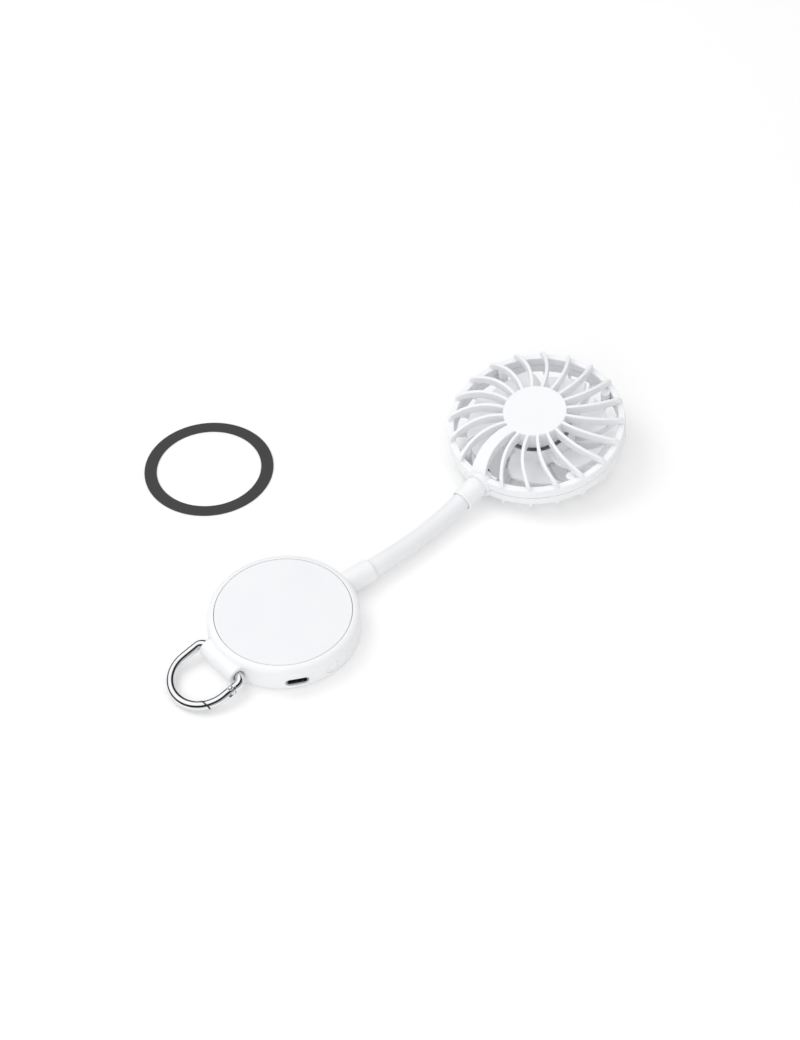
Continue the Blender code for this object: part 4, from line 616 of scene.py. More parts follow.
# %% Base housing sizes
BASE_RADIUS = 30.9 * MM
BASE_HEIGHT = 12.5 * MM
BASE_INNER = 29.3 * MM
BASE_FLOOR = 1.6 * MM
LEDGE_RADIUS = 26.6 * MM
LEDGE_LOW, LEDGE_HIGH = 9.7 * MM, 10.8 * MM
LIP_RADIUS = 27.9 * MM
TOP_ROUND = 2.6 * MM
FOOT_ROUND = 2.6 * MM
MID = BASE_HEIGHT / 2
COLLAR_RADIUS = 5.0 * MM
COLLAR_ROOT = 28.6 * MM
COLLAR_END = 43.6 * MM
NECK_HOLE = 4.3 * MM
TUBE_OUT = 31.0 * MM
TUBE_BEARING = math.radians(182.8)
TUBE_RADIUS = 4.0 * MM
TUBE_HALF = 10.0 * MM
WIRE_HOLE = 2.3 * MM
BUTTON_BEARING = math.radians(-88)
BUTTON_HEIGHT = 5.9 * MM
BUTTON_HOLE = 3.05 * MM
SOCKET_BEARING = math.radians(-116)
SOCKET_HEIGHT = 4.98 * MM
SOCKET_HOLE = 9.54 * MM, 3.76 * MM


def to_bearing(angle, height):
    """A frame on the base: +Z points outwards at a bearing, X lies level."""
    outward = Vector((math.cos(angle), math.sin(angle), 0))
    across = Vector((-math.sin(angle), math.cos(angle), 0))
    axes = Matrix((across, outward.cross(across), outward)).transposed()
    return Matrix.Translation((0, 0, height)) @ axes.to_4x4()


to_tube = (Matrix.Rotation(TUBE_BEARING, 4, "Z")
           @ Matrix.Translation((TUBE_OUT, 0, MID)))
to_button = to_bearing(BUTTON_BEARING, BUTTON_HEIGHT)
to_socket = to_bearing(SOCKET_BEARING, SOCKET_HEIGHT)

# %% Base housing


def base_housing():
    to_neck = Matrix.Translation((0, 0, MID)) @ along((1, 0, 0))
    to_clip = to_tube @ along((0, 1, 0))
    tube_reach = TUBE_HALF + 2.5 * MM
    cup = turned([
        (0, BASE_FLOOR, 0), (BASE_INNER, BASE_FLOOR, 0), (BASE_INNER, LEDGE_LOW, 0),
        (LEDGE_RADIUS, LEDGE_LOW, 0), (LEDGE_RADIUS, LEDGE_HIGH, 0),
        (LIP_RADIUS, LEDGE_HIGH, 0), (LIP_RADIUS, BASE_HEIGHT, 0.12 * MM),
        (BASE_RADIUS, BASE_HEIGHT, TOP_ROUND), (BASE_RADIUS, 0, FOOT_ROUND),
        (0, 0, 0)], FINE_STEPS)
    collar = turned([
        (0, COLLAR_END, 0), (COLLAR_RADIUS, COLLAR_END, 0.8 * MM),
        (COLLAR_RADIUS, COLLAR_ROOT, 0), (0, COLLAR_ROOT, 0)], ROUND_STEPS, place=to_neck)
    tube = turned([
        (0, TUBE_HALF, 0), (TUBE_RADIUS, TUBE_HALF, 0.6 * MM),
        (TUBE_RADIUS, -TUBE_HALF, 0.6 * MM), (0, -TUBE_HALF, 0)], ROUND_STEPS,
        place=to_clip)
    return combine(
        combine(cup, collar, tube, join=True),
        cylinder(NECK_HOLE, COLLAR_ROOT - MM, COLLAR_END + MM, ROUND_STEPS, to_neck),
        cylinder(WIRE_HOLE, -tube_reach, tube_reach, SMALL_STEPS, to_clip),
        cylinder(BUTTON_HOLE, BASE_INNER - MM, BASE_RADIUS + MM, SMALL_STEPS, to_button),
        stadium(*SOCKET_HOLE, BASE_INNER - 2 * MM, BASE_RADIUS + MM, SMALL_STEPS,
                to_socket))


piece("base_shell", base_housing(), "white_abs", "base", ["base_housing"])

# %% [markdown]
# The face panel is let into the top of the base. A gap of a third of a millimetre runs
# round it, and in the photograph that gap is a fine dark line, so it is a real gap here
# and not a painted line. Under the panel a rib centres the magnets.

# %% Face panel
PANEL_RADIUS = 27.68 * MM
PANEL_LOW = 11.1 * MM
CENTRING_INNER, CENTRING_OUTER, CENTRING_LOW = 20.6 * MM, 21.6 * MM, 9.1 * MM

piece("panel", turned([
    (0, BASE_HEIGHT, 0), (PANEL_RADIUS, BASE_HEIGHT, 0.2 * MM),
    (PANEL_RADIUS, PANEL_LOW, 0), (CENTRING_OUTER, PANEL_LOW, 0),
    (CENTRING_OUTER, CENTRING_LOW, 0), (CENTRING_INNER, CENTRING_LOW, 0),
    (CENTRING_INNER, PANEL_LOW, 0), (0, PANEL_LOW, 0)], FINE_STEPS),
    "white_panel", "base", ["face_panel"])

# %% [markdown]
# The power button is a small turned cap with a flange that stops it inside the wall. Its
# face is dished slightly, so a fingertip finds it. Only its outline shows.

# %% Power button
piece("button_cap", turned(mm(
    (0, 30.62, 0), (1.6, 30.7, 0.6), (2.5, 30.8, 0.3), (2.97, 30.77, 0.12),
    (2.97, 28.79, 0), (3.5, 28.79, 0.1), (3.5, 27.89, 0.1), (1.3, 27.89, 0),
    (1.3, 26.99, 0.2), (0, 26.99, 0)), ROUND_STEPS, place=to_button),
    "white_abs", "button", ["power_button"])

# %% [markdown]
# The charging socket is a drawn steel shell with a dark tongue inside. The tongue carries
# twelve gilt contacts on each side, which are tiny blocks set side by side.

# %% Charging socket
SHELL_WIDTH, SHELL_HEIGHT = 8.94 * MM, 3.16 * MM
SHELL_BACK, SHELL_FRONT = 22.8 * MM, 30.4 * MM
SHELL_SKIN = 0.35 * MM
TONGUE_GAP = 0.3 * MM
TONGUE_FRONT = SHELL_FRONT - 1.2 * MM
TONGUE_START = SHELL_BACK + SHELL_SKIN + TONGUE_GAP
TONGUE_REACH, TONGUE_HALF = 3.3 * MM, 0.35 * MM
CONTACTS = 12
CONTACT_PITCH = 0.5 * MM
CONTACT_HALF = Vector((0.13 * MM, 0.03 * MM, 0))


def socket_shell():
    outer = stadium(SHELL_WIDTH, SHELL_HEIGHT, SHELL_BACK, SHELL_FRONT, SMALL_STEPS,
                    to_socket)
    hollow = stadium(SHELL_WIDTH - 2 * SHELL_SKIN, SHELL_HEIGHT - 2 * SHELL_SKIN,
                     SHELL_BACK + SHELL_SKIN, SHELL_FRONT + MM, SMALL_STEPS, to_socket)
    return combine(outer, hollow)


def socket_tongue():
    narrower = 2 * (SHELL_SKIN + TONGUE_GAP)
    root = stadium(SHELL_WIDTH - narrower, SHELL_HEIGHT - narrower, TONGUE_START,
                   TONGUE_START + 1.8 * MM, SMALL_STEPS, to_socket)
    blade = block((-TONGUE_REACH, -TONGUE_HALF, TONGUE_START + 0.9 * MM),
                  (TONGUE_REACH, TONGUE_HALF, TONGUE_FRONT), 0.12 * MM, to_socket)
    return combine(root, blade, join=True)


def socket_contacts():
    strips = []
    for y in (-TONGUE_HALF, TONGUE_HALF):
        for number in range(CONTACTS):
            x = (number - (CONTACTS - 1) / 2) * CONTACT_PITCH
            strips.append(block(
                Vector((x, y, TONGUE_START + 2 * MM)) - CONTACT_HALF,
                Vector((x, y, TONGUE_FRONT - 0.4 * MM)) + CONTACT_HALF, 0.0, to_socket))
    return joined(*strips)


piece("socket_shell", socket_shell(), "steel", "base", ["usb_c_shell"])
piece("socket_tongue", socket_tongue(), "black_plastic", "base", ["usb_c_tongue"])
piece("socket_contacts", socket_contacts(), "brass", "base")

# %% [markdown]
# The key-ring clip is bent from thick round wire and chromed. Its frame lies on the
# tube's axis and drops a little towards the table, so the bow rests on it. The wire is
# swept along its route, a flat tang is joined to its end, and then the slit and the fork
# are cut. The gate is the same wire between fork and slit, and a rivet holds it.

# %% Clip sizes
WIRE_RADIUS = 2.0 * MM
BOW_CENTRE = 9.9 * MM
BOW_RADIUS = 13.2 * MM
CORNER = 3.0 * MM
NOSE = 17.5 * MM
SLIT_HALF = 0.2 * MM
HINGE = Vector((6.0 * MM, BOW_RADIUS, 0))
WIRE_END = 5.0 * MM
WIRE_SIDES = 40
CLIP_DROP = math.asin((MID - WIRE_RADIUS) / (BOW_CENTRE + BOW_RADIUS))
to_clip_frame = to_tube @ Matrix.Rotation(CLIP_DROP, 4, "Y")
at_hinge = Matrix.Translation(HINGE)


def bend(centre, radius, start, end, step=4.0):
    """Points of a bend in the clip's plane, angles in degrees."""
    count = max(2, round(abs(end - start) / step))
    angles = [math.radians(start + (end - start) * i / count) for i in range(count + 1)]
    return [Vector((centre[0] + radius * math.cos(a), centre[1] + radius * math.sin(a), 0))
            for a in angles]


def tidy_route(points):
    """Drop points that repeat the one before."""
    kept = [points[0]]
    for point in points[1:]:
        if (point - kept[-1]).length > 0.01 * MM:
            kept.append(point)
    return kept


NOSE_ANGLE = math.degrees(math.acos((NOSE - BOW_CENTRE) / BOW_RADIUS))
SLIT_LEAN = math.radians(8)
SLIT_PLACE = Vector((NOSE, math.sqrt(BOW_RADIUS ** 2 - (NOSE - BOW_CENTRE) ** 2), 0))
to_slit = Matrix.Translation(SLIT_PLACE) @ Matrix.Rotation(SLIT_LEAN, 4, "Z")

# %% [markdown]
# Polished chrome is almost a mirror with a few faint buffing marks. A narrow band at the
# slit is painted dark and made rougher: the dark is painted shade that draws the slit's
# shadow line. A Mapping node carries each point into the slit's own frame, where the band
# is simply a small distance.

# %% Chrome
# A band of painted shade at the slit: its half width, its reach and its dark colour.
SLIT_SHADE_HALF = 0.3 * MM
SLIT_SHADE_REACH = 3.0 * MM
SLIT_SHADE_COLOUR = (0.11, 0.11, 0.115, 1)


def clip_chrome():
    finish = Finish("clip_chrome", Metallic=1.0)
    cloud = noise(finish, 260.0, 4.0)
    slit = to_clip_frame @ to_slit
    near = finish.node("ShaderNodeMapping", {"vector_type": "TEXTURE"}, {
        "Vector": finish.place(), "Location": slit.to_translation(),
        "Rotation": slit.to_euler()})
    across = finish.node("ShaderNodeSeparateXYZ", {}, {"Vector": near})
    away = finish.node("ShaderNodeVectorMath", {"operation": "LENGTH"}, {0: near}, "Value")
    side = finish.node("ShaderNodeMath", {"operation": "ABSOLUTE"}, {0: across})
    # Painted shade: near the slit the chrome is drawn dark and rougher.
    slit_shade = (1 - (side > SLIT_SHADE_HALF)) * (1 - (away > SLIT_SHADE_REACH))
    bright = shades(finish, cloud, (0.80, 0.805, 0.82), (0.86, 0.865, 0.88))
    colour = finish.node("ShaderNodeMixRGB", {}, {
        "Fac": slit_shade, "Color1": bright, "Color2": SLIT_SHADE_COLOUR})
    return finish.give(Base_Color=colour, Roughness=cloud * 0.03 + slit_shade * 0.3 + 0.04,
                       Normal=relief(finish, cloud, 0.0004))


FINISHES["clip_chrome"] = clip_chrome()
print("slit at", [round(value / MM, 1) for value in (to_clip_frame @ SLIT_PLACE)], "mm")

# %% [markdown]
# At the hinge the gate's end is rounded to the wire's own width, and the body's wire ends
# in a hollow round it, so the two read as one wire. The body's flat tang reaches into the
# gate's slot, and one pin hole goes through both.

# %% Clip body
FAR = 3 * MM              # past the wire on both sides
KNUCKLE_GAP = 0.12 * MM
TANG_HALF = 0.7 * MM
PIN_HOLE = 0.9 * MM


def at_pin(radius, low=-FAR, high=FAR, steps=SMALL_STEPS):
    """A cylinder round the hinge's pin."""
    return cylinder(radius, low, high, steps, at_hinge)


def clip_body():
    side = BOW_RADIUS - CORNER
    route = bend((BOW_CENTRE, 0), BOW_RADIUS, NOSE_ANGLE + 6, -90)
    route += bend((CORNER, -side), CORNER, 270, 180, 9)
    route += bend((CORNER, side), CORNER, 180, 90, 9)
    route += [Vector((CORNER + 0.1 * MM, BOW_RADIUS, 0)), Vector((WIRE_END, BOW_RADIUS, 0))]
    wire = combine(swept(tidy_route(route), WIRE_RADIUS, WIRE_SIDES),
                   at_pin(WIRE_RADIUS + KNUCKLE_GAP, steps=WIRE_SIDES))
    tang = block((WIRE_END - 2.4 * MM, BOW_RADIUS - 1.6 * MM, -TANG_HALF),
                 (HINGE.x, BOW_RADIUS + 1.6 * MM, TANG_HALF))
    tip = turned(mm((0, 0.69, 0), (1.9, 0.69, 0.15), (1.9, -0.69, 0.15), (0, -0.69, 0)),
                 SMALL_STEPS, place=at_hinge)
    nose = block((-9.6 * MM, -6.4 * MM, -FAR), (SLIT_HALF, 6.4 * MM, FAR), place=to_slit)
    shape = combine(combine(wire, tang, tip, join=True), at_pin(PIN_HOLE), nose)
    return laid(shape, to_clip_frame)


piece("clip_body", clip_body(), "clip_chrome", "clip", ["carabiner_body"])

# %% Gate, rivet and spring
RIVET_SEAT = 1.72 * MM
RIVET_SINK = 1.25 * MM
RIVET_TOP = 2.45 * MM
SLOT_HALF = 0.8 * MM
SPRING_BORE = 1.19 * MM


def clip_gate():
    route = [HINGE + Vector((-2.2 * MM, 0, 0)), HINGE]
    route += bend((BOW_CENTRE, 0), BOW_RADIUS, 90, NOSE_ANGLE - 8)
    around = combine(
        block((HINGE.x - FAR, BOW_RADIUS - FAR, -FAR), (HINGE.x, BOW_RADIUS + FAR, FAR)),
        at_pin(WIRE_RADIUS, -4 * MM, 4 * MM, WIRE_SIDES))
    slot = block((HINGE.x - 4 * MM, BOW_RADIUS - 4 * MM, -SLOT_HALF),
                 (HINGE.x + 2.6 * MM, BOW_RADIUS + 4 * MM, SLOT_HALF))
    tip = block((-SLIT_HALF, -9 * MM, -FAR), (16 * MM, 6.4 * MM, FAR), place=to_slit)
    bore = cylinder(SPRING_BORE, HINGE.x + 1.6 * MM, HINGE.x + 5.3 * MM, SMALL_STEPS,
                    Matrix.Translation((0, BOW_RADIUS, 0)) @ along((1, 0, 0)))
    shape = combine(
        swept(tidy_route(route), WIRE_RADIUS, WIRE_SIDES), around,
        at_pin(RIVET_SINK, RIVET_SEAT), at_pin(RIVET_SINK, high=-RIVET_SEAT), slot,
        at_pin(PIN_HOLE), tip, bore)
    return laid(shape, to_clip_frame)


def gate_rivet():
    seat = RIVET_SEAT + 0.03 * MM
    head = [(0, RIVET_TOP, 0), (0.95 * MM, RIVET_TOP - 0.1 * MM, 0.5 * MM),
            (1.15 * MM, seat, 0), (0.6 * MM, seat, 0)]
    foot = [(radius, -height, rounding) for radius, height, rounding in reversed(head)]
    return turned(head + foot, SMALL_STEPS, place=to_clip_frame @ at_hinge)


SPRING_TURNS = 4.5
SPRING_STEPS = 90
SPRING_START, SPRING_LENGTH = HINGE.x + 2.3 * MM, 2.1 * MM
SPRING_RADIUS, SPRING_WIRE, SPRING_SIDES = 0.75 * MM, 0.14 * MM, 10


def gate_spring():
    points = []
    for number in range(SPRING_STEPS + 1):
        share = number / SPRING_STEPS
        turn = 2 * math.pi * SPRING_TURNS * share
        points.append(Vector((SPRING_START + SPRING_LENGTH * share,
                              BOW_RADIUS + SPRING_RADIUS * math.cos(turn),
                              SPRING_RADIUS * math.sin(turn))))
    return laid(swept(points, SPRING_WIRE, SPRING_SIDES), to_clip_frame)


piece("clip_gate", clip_gate(), "clip_chrome", "gate", ["carabiner_gate"])
piece("rivet", gate_rivet(), "clip_chrome", "clip", ["gate_rivet"])
piece("spring", gate_spring(), "steel", "gate", ["gate_spring"])

# %% [markdown]
# The neck is one silicone sleeve over a core that stays where it is bent. In the frame
# it has six joints, a pitch and a yaw in turn. The visible sleeve is made in six lengths
# that meet half-way between joints, each with one joint in its middle. The lengths are
# left where they lie and ride no body. Core and leads are split at the same places.

# %% Neck line
JOINTS = {joint["name"]: joint for joint in frame["joints"]}
NECK_JOINTS = ("neck_pitch_1", "neck_yaw_1", "neck_pitch_2", "neck_yaw_2",
               "neck_pitch_3", "neck_yaw_3")
NECK_BODIES = ("base", "neck_link_1", "neck_link_2", "neck_link_3", "neck_link_4",
               "neck_link_5", "head")
CENTRES = [Vector(JOINTS[name]["pos_m"]) for name in NECK_JOINTS]
HEAD_CENTRE = Vector(JOINTS["impeller_spin"]["pos_m"])
FACING = Vector(JOINTS["impeller_spin"]["axis"]).normalized()
OUTWARD = (HEAD_CENTRE - CENTRES[-1]).normalized()
SIDEWAYS = FACING.cross(OUTWARD).normalized()
HEAD_AXES = Matrix((OUTWARD, SIDEWAYS, FACING)).transposed().to_4x4()
to_head = Matrix.Translation(HEAD_CENTRE) @ HEAD_AXES
NECK_SAMPLES = 120


def neck_curve():
    """The neck's axis from its first joint to its last, as even samples."""
    start, end = CENTRES[0], CENTRES[-1]
    handle = (end - start).length / 3
    control = (start, start + Vector((handle, 0, 0)), end - handle * OUTWARD, end)
    points = []
    for number in range(NECK_SAMPLES + 1):
        t = number / NECK_SAMPLES
        weights = ((1 - t) ** 3, 3 * t * (1 - t) ** 2, 3 * t * t * (1 - t), t ** 3)
        points.append(sum((w * p for w, p in zip(weights, control)), Vector()))
    return points


def split_neck():
    """The curve in six lengths, each with one joint in its middle."""
    curve = neck_curve()
    cuts = [0]
    for before, after in zip(CENTRES, CENTRES[1:]):
        middle = (before + after) / 2
        cuts.append(min(range(len(curve)), key=lambda i: (curve[i] - middle).length))
    cuts.append(len(curve) - 1)
    return [curve[low:high + 1] for low, high in zip(cuts, cuts[1:])]


LENGTHS = split_neck()
LAST = len(LENGTHS) - 1
print("neck lengths", [len(points) for points in LENGTHS])

# %% [markdown]
# Each length has a start and an end for its bend, which `bend_range` works out, but
# nothing here bends the lengths. The first range starts at the collar's mouth and the
# last ends at the head collar's.

# %% Neck sleeve
SLEEVE_RADIUS = 4.0 * MM
SLEEVE_BORE = 2.1 * MM
SLEEVE_SIDES = 64
SLEEVE_START = Vector((28.9 * MM, 0, MID))
SLEEVE_END = HEAD_CENTRE - OUTWARD * 34.6 * MM


def bend_range(number):
    """Where the bend of a length starts and ends."""
    centre = CENTRES[number]
    if number == 0:
        return centre - Vector((1.2 * MM, 0, 0)), centre + Vector((4.8 * MM, 0, 0))
    if number == LAST:
        return centre - OUTWARD * 4.8 * MM, centre + OUTWARD * 3.5 * MM
    heading = (CENTRES[number + 1] - CENTRES[number - 1]).normalized()
    return centre - heading * 4.6 * MM, centre + heading * 4.6 * MM


def straight(start, end, count=12):
    return [start.lerp(end, number / count) for number in range(count + 1)]


def through_neck(name, finish, nodes, size, before, after, offset=Vector((0, 0, 0))):
    """Sweep sleeve, core or lead through the neck, one piece for each length."""
    for number, length in enumerate(LENGTHS):
        route = [point + offset for point in length]
        if number == 0:
            route = before(route[0])[:-1] + route
        if number == LAST:
            route += after(route[-1])[1:]
        made = piece(f"{name}_{number + 1}", swept(tidy_route(route), *size), finish,
                     None, nodes[number], weighted=False)
        start, end = bend_range(number)
        NECK_BODIES[number + 1]
        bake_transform(made)


sleeve_nodes = [[f"neck_sleeve_{number + 1}"] for number in range(LAST + 1)]
sleeve_nodes[LAST].append("neck_sleeve_7")
through_neck("sleeve", "white_silicone", sleeve_nodes,
             (SLEEVE_RADIUS, SLEEVE_SIDES, SLEEVE_BORE),
             lambda first: straight(SLEEVE_START, first),
             lambda last: straight(last, SLEEVE_END))

# %% [markdown]
# Inside the sleeve runs a stiff steel core that stays where it is bent. It is hidden, but
# a reader who opens the neck should find it. It is cut into the same lengths.

# %% Neck core
CORE_RADIUS = 0.8 * MM
CORE_SIDES = 20
CORE_START = Vector((25.4 * MM, 0, MID))
CORE_END = HEAD_CENTRE - OUTWARD * 32.5 * MM

through_neck("core", "steel", [["neck_core"]] * len(LENGTHS), (CORE_RADIUS, CORE_SIDES),
             lambda first: straight(CORE_START, first, 10),
             lambda last: straight(last, CORE_END, 10))

# %% [markdown]
# The head's collar is a turned tube that grips the end of the sleeve. It has a raised lip
# at its mouth and two fine rings near the rim, as the photograph shows. A flat flange
# inside the rim stops it from being pulled out.

# %% Head collar
to_neck_side = to_head @ along((-1, 0, 0))
COLLAR_REACH = 49.5 * MM
COLLAR_FOOT = 32.8 * MM
HEAD_COLLAR_RADIUS = 4.9 * MM
COLLAR_WAIST = HEAD_COLLAR_RADIUS - 0.25 * MM
FLANGE_TOP = 34.3 * MM
RING_PLACES = (41.4 * MM, 40.2 * MM)


def head_collar():
    radius, waist = HEAD_COLLAR_RADIUS, COLLAR_WAIST
    profile = [(0, COLLAR_REACH, 0), (radius, COLLAR_REACH, 0.45 * MM),
               (radius, COLLAR_REACH - 1.5 * MM, 0.3 * MM),
               (waist, COLLAR_REACH - 1.7 * MM, 0.15 * MM)]
    for place in RING_PLACES:
        profile += [(waist, place + 0.35 * MM, 0.05 * MM),
                    (radius, place + 0.2 * MM, 0.1 * MM), (radius, place, 0.1 * MM),
                    (waist, place - 0.15 * MM, 0.05 * MM)]
    profile += [(waist, COLLAR_FOOT, 0), (0, COLLAR_FOOT, 0)]
    flange = block((-6.3 * MM, -3.5 * MM, COLLAR_FOOT), (6.3 * MM, 3.5 * MM, FLANGE_TOP),
                   0.3 * MM, Matrix.Rotation(math.pi / 2, 4, "Z"))
    shape = combine(
        combine(turned(profile, ROUND_STEPS), flange, join=True),
        cylinder(NECK_HOLE, FLANGE_TOP, COLLAR_REACH + MM, ROUND_STEPS),
        cylinder(SLEEVE_BORE, COLLAR_FOOT - MM, FLANGE_TOP + MM, SMALL_STEPS))
    return laid(shape, to_neck_side)


piece("head_tube", head_collar(), "white_abs", "head", ["head_collar"])

# %% [markdown]
# The ribs give the head its look. Each is a thin blade that leaves the hub square, bows
# sideways in plan, rises a little in the middle and rounds down over the rim. They could
# be drawn as curves with a bevel. Here one straight rib is made as a block, its edges are
# rounded, slices are cut across it, and then every point is carried to the rib's curve.
# So one template serves all the ribs, and its rounding stays even.

# %% Rib curve
HUB_RADIUS = 13.7 * MM
RIM_RADIUS = 38.1 * MM
RIM_INNER = 35.3 * MM
RIM_TOP = 4.4 * MM
RIM_STEP_RADIUS = 38.35 * MM
PARTING = 0.2 * MM
PARTING_HALF = 0.15 * MM
HUB_TOP = 11.8 * MM
RIB_RUN = RIM_RADIUS - HUB_RADIUS
RIB_START_RISE = 7.3 * MM
RIB_TIP_RISE = 2.4 * MM
RIB_CROWN = 1.6 * MM
RIB_DEPTH_HUB = 4.8 * MM
RIB_DEPTH_RIM = 3.0 * MM
RIB_END_ROUND = 2.0 * MM
RIB_TIP_DROP = 2.1 * MM
RIB_SWEEP = math.radians(8.9)
RIB_BOW = 2.4 * MM
RIB_INSET = -0.7 * MM / RIB_RUN
RIB_WIDTH = 1.5 * MM
WIDE_RIB_HUB, WIDE_RIB_RIM = 4.8 * MM, 6.4 * MM
RIB_COUNT = 20
RIB_STEP = 2 * math.pi / RIB_COUNT
WIDE_RIB = math.pi - RIB_SWEEP


def rib_top(share):
    rise = RIB_START_RISE + (RIB_TIP_RISE - RIB_START_RISE) * share
    return RIM_TOP + rise + 4 * RIB_CROWN * share * (1 - share)


def rib_bottom(share):
    return rib_top(share) - RIB_DEPTH_HUB + (RIB_DEPTH_HUB - RIB_DEPTH_RIM) * share


def rib_crest(share):
    """The upper edge, rounded down to the rim at the tip."""
    past = max(0.0, (share - 1) * RIB_RUN + RIB_END_ROUND) / RIB_END_ROUND
    return rib_top(share) - RIB_TIP_DROP * (1 - math.sqrt(max(0.0, 1 - past * past)))


def rib_plan(share, across):
    """A point of the bowed rib seen from above, beside its middle line."""
    start = Vector((HUB_RADIUS, 0))
    chord = Vector((RIM_RADIUS * math.cos(RIB_SWEEP),
                    RIM_RADIUS * math.sin(RIB_SWEEP))) - start
    normal = Vector((-chord.y, chord.x)).normalized()
    point = start + chord * share - normal * (4 * RIB_BOW * share * (1 - share))
    slope = chord - normal * (4 * RIB_BOW * (1 - 2 * share))
    return point + Vector((-slope.y, slope.x)).normalized() * across


# %% One rib
BLANK_DEPTH = 4.0 * MM
BLANK_ROUND = 0.45 * MM
SLICES = 26
SLICE_CROWDING = 1.6      # draws the slices towards the tip


def sliced(shape, places):
    """Cut a straight bar across, so that it can be bent."""
    for place in places:
        bmesh.ops.bisect_plane(shape, geom=shape.verts[:] + shape.edges[:] + shape.faces[:],
                               plane_co=(place, 0, 0), plane_no=(1, 0, 0))
    return shape


def rib_blank(width):
    """A straight bar along +X with its top and tip rounded, cut into slices."""
    length = (1 - RIB_INSET) * RIB_RUN
    shape = block((0, -width / 2, 0), (length, width / 2, BLANK_DEPTH))
    rounded = [edge for edge in shape.edges
               if any(point.co.x > length / 2 for point in edge.verts)
               and any(point.co.z > BLANK_DEPTH / 2 for point in edge.verts)]
    bmesh.ops.bevel(shape, geom=rounded, offset=BLANK_ROUND, segments=ROUND_SEGMENTS,
                    profile=0.5, affect="EDGES", material=-1)
    shares = [1 - (1 - number / SLICES) ** SLICE_CROWDING for number in range(1, SLICES)]
    return sliced(shape, [share * (length - 1.1 * BLANK_ROUND) for share in shares])


def bent_rib(shape, start, end, widen, top, bottom):
    """Carry a straight bar to the rib's curve."""
    length = max(point.co.x for point in shape.verts)
    for point in shape.verts:
        share = start + (end - start) * point.co.x / length
        plan = rib_plan(share, point.co.y * widen(share))
        height = point.co.z / BLANK_DEPTH
        point.co = (plan.x, plan.y,
                    bottom(share) + (top(share) - bottom(share)) * height)
    return shape


def rib_mesh(width, at_hub):
    """One rib. At the hub it is `at_hub` times as wide as at the rim."""
    return mesh_from(bent_rib(rib_blank(width), RIB_INSET, 1.0,
                              lambda share: at_hub + (1 - at_hub) * share,
                              rib_crest, rib_bottom), "rib")


def rib_ring(wide):
    """All the ribs of one cage, with the wide one over the neck if asked."""
    narrow = rib_mesh(RIB_WIDTH, 1.0)
    first = rib_mesh(WIDE_RIB_RIM, WIDE_RIB_HUB / WIDE_RIB_RIM) if wide else narrow
    ring = bmesh.new()
    for number in range(RIB_COUNT):
        known = set(ring.verts)
        ring.from_mesh(narrow if number else first)
        added = [point for point in ring.verts if point not in known]
        bmesh.ops.rotate(ring, verts=added, cent=(0, 0, 0),
                         matrix=Matrix.Rotation(WIDE_RIB + number * RIB_STEP, 3, "Z"))
    bpy.data.batch_remove({narrow, first})
    return ring


# %% [markdown]
# Each half of the cage joins its rim, hub disc, collar boss, screw posts and ribs into
# one moulding. The boss is turned whole and cut off at the parting plane first. The
# collar's hole, the screw holes and the wire channel are taken out at the end.

# %% Cages
POST_CIRCLE = 33.3 * MM
POST_RADIUS = 2.1 * MM
POST_ANGLES = [math.radians(66 + 90 * number) for number in range(4)]
POST_PLACES = [Matrix.Translation((POST_CIRCLE * math.cos(angle),
                                   POST_CIRCLE * math.sin(angle), 0))
               for angle in POST_ANGLES]
HOLE_STEPS = 24
SCREW_HOLE = 0.9 * MM
SINK_HOLE = 1.5 * MM
SINK_SEAT = -3.0 * MM
COLLAR_HOLE = 4.72 * MM
CHANNEL_WIDTH = 3.0 * MM
CHANNEL_DEPTH = 2.4 * MM
CHANNEL_START = -3.7 * MM / RIB_RUN
CHANNEL_END = 0.8
CHANNEL_BLANK = 10 * MM
HUB_INNER = 12.3 * MM
HUB_UNDER = 10.2 * MM
HUB_STEPS = 96
FRONT_SKIRT, REAR_SKIRT = 3.25 * MM, 6.8 * MM
SPIGOT_INNER, SPIGOT_OUTER, SPIGOT_FOOT = 10.3 * MM, 11.5 * MM, 7.2 * MM


def parting(side):
    return PARTING + side * PARTING_HALF


def rim(side):
    low, high = parting(side), side * RIM_TOP
    return turned([
        (RIM_INNER, low, 0), (RIM_STEP_RADIUS, low, 0.12 * MM),
        (RIM_STEP_RADIUS, side * 1.95 * MM, 0.12 * MM),
        (RIM_RADIUS, side * 2.25 * MM, 0.12 * MM),
        (RIM_RADIUS, high, 0.45 * MM), (RIM_INNER, high, 0.3 * MM)],
        FINE_STEPS, closed=True)


def hub(side):
    skirt = FRONT_SKIRT if side > 0 else REAR_SKIRT
    profile = [(0, HUB_TOP, 0), (HUB_RADIUS, HUB_TOP, 0.5 * MM),
               (HUB_RADIUS, skirt, 0.2 * MM), (HUB_INNER, skirt, 0.2 * MM),
               (HUB_INNER, HUB_UNDER, 0)]
    if side > 0:
        profile += [(SPIGOT_OUTER, HUB_UNDER, 0), (SPIGOT_OUTER, SPIGOT_FOOT, 0.1 * MM),
                    (SPIGOT_INNER, SPIGOT_FOOT, 0.1 * MM), (SPIGOT_INNER, HUB_UNDER, 0)]
    profile.append((0, HUB_UNDER, 0))
    return turned([(radius, side * height, rounding)
                   for radius, height, rounding in profile], HUB_STEPS)


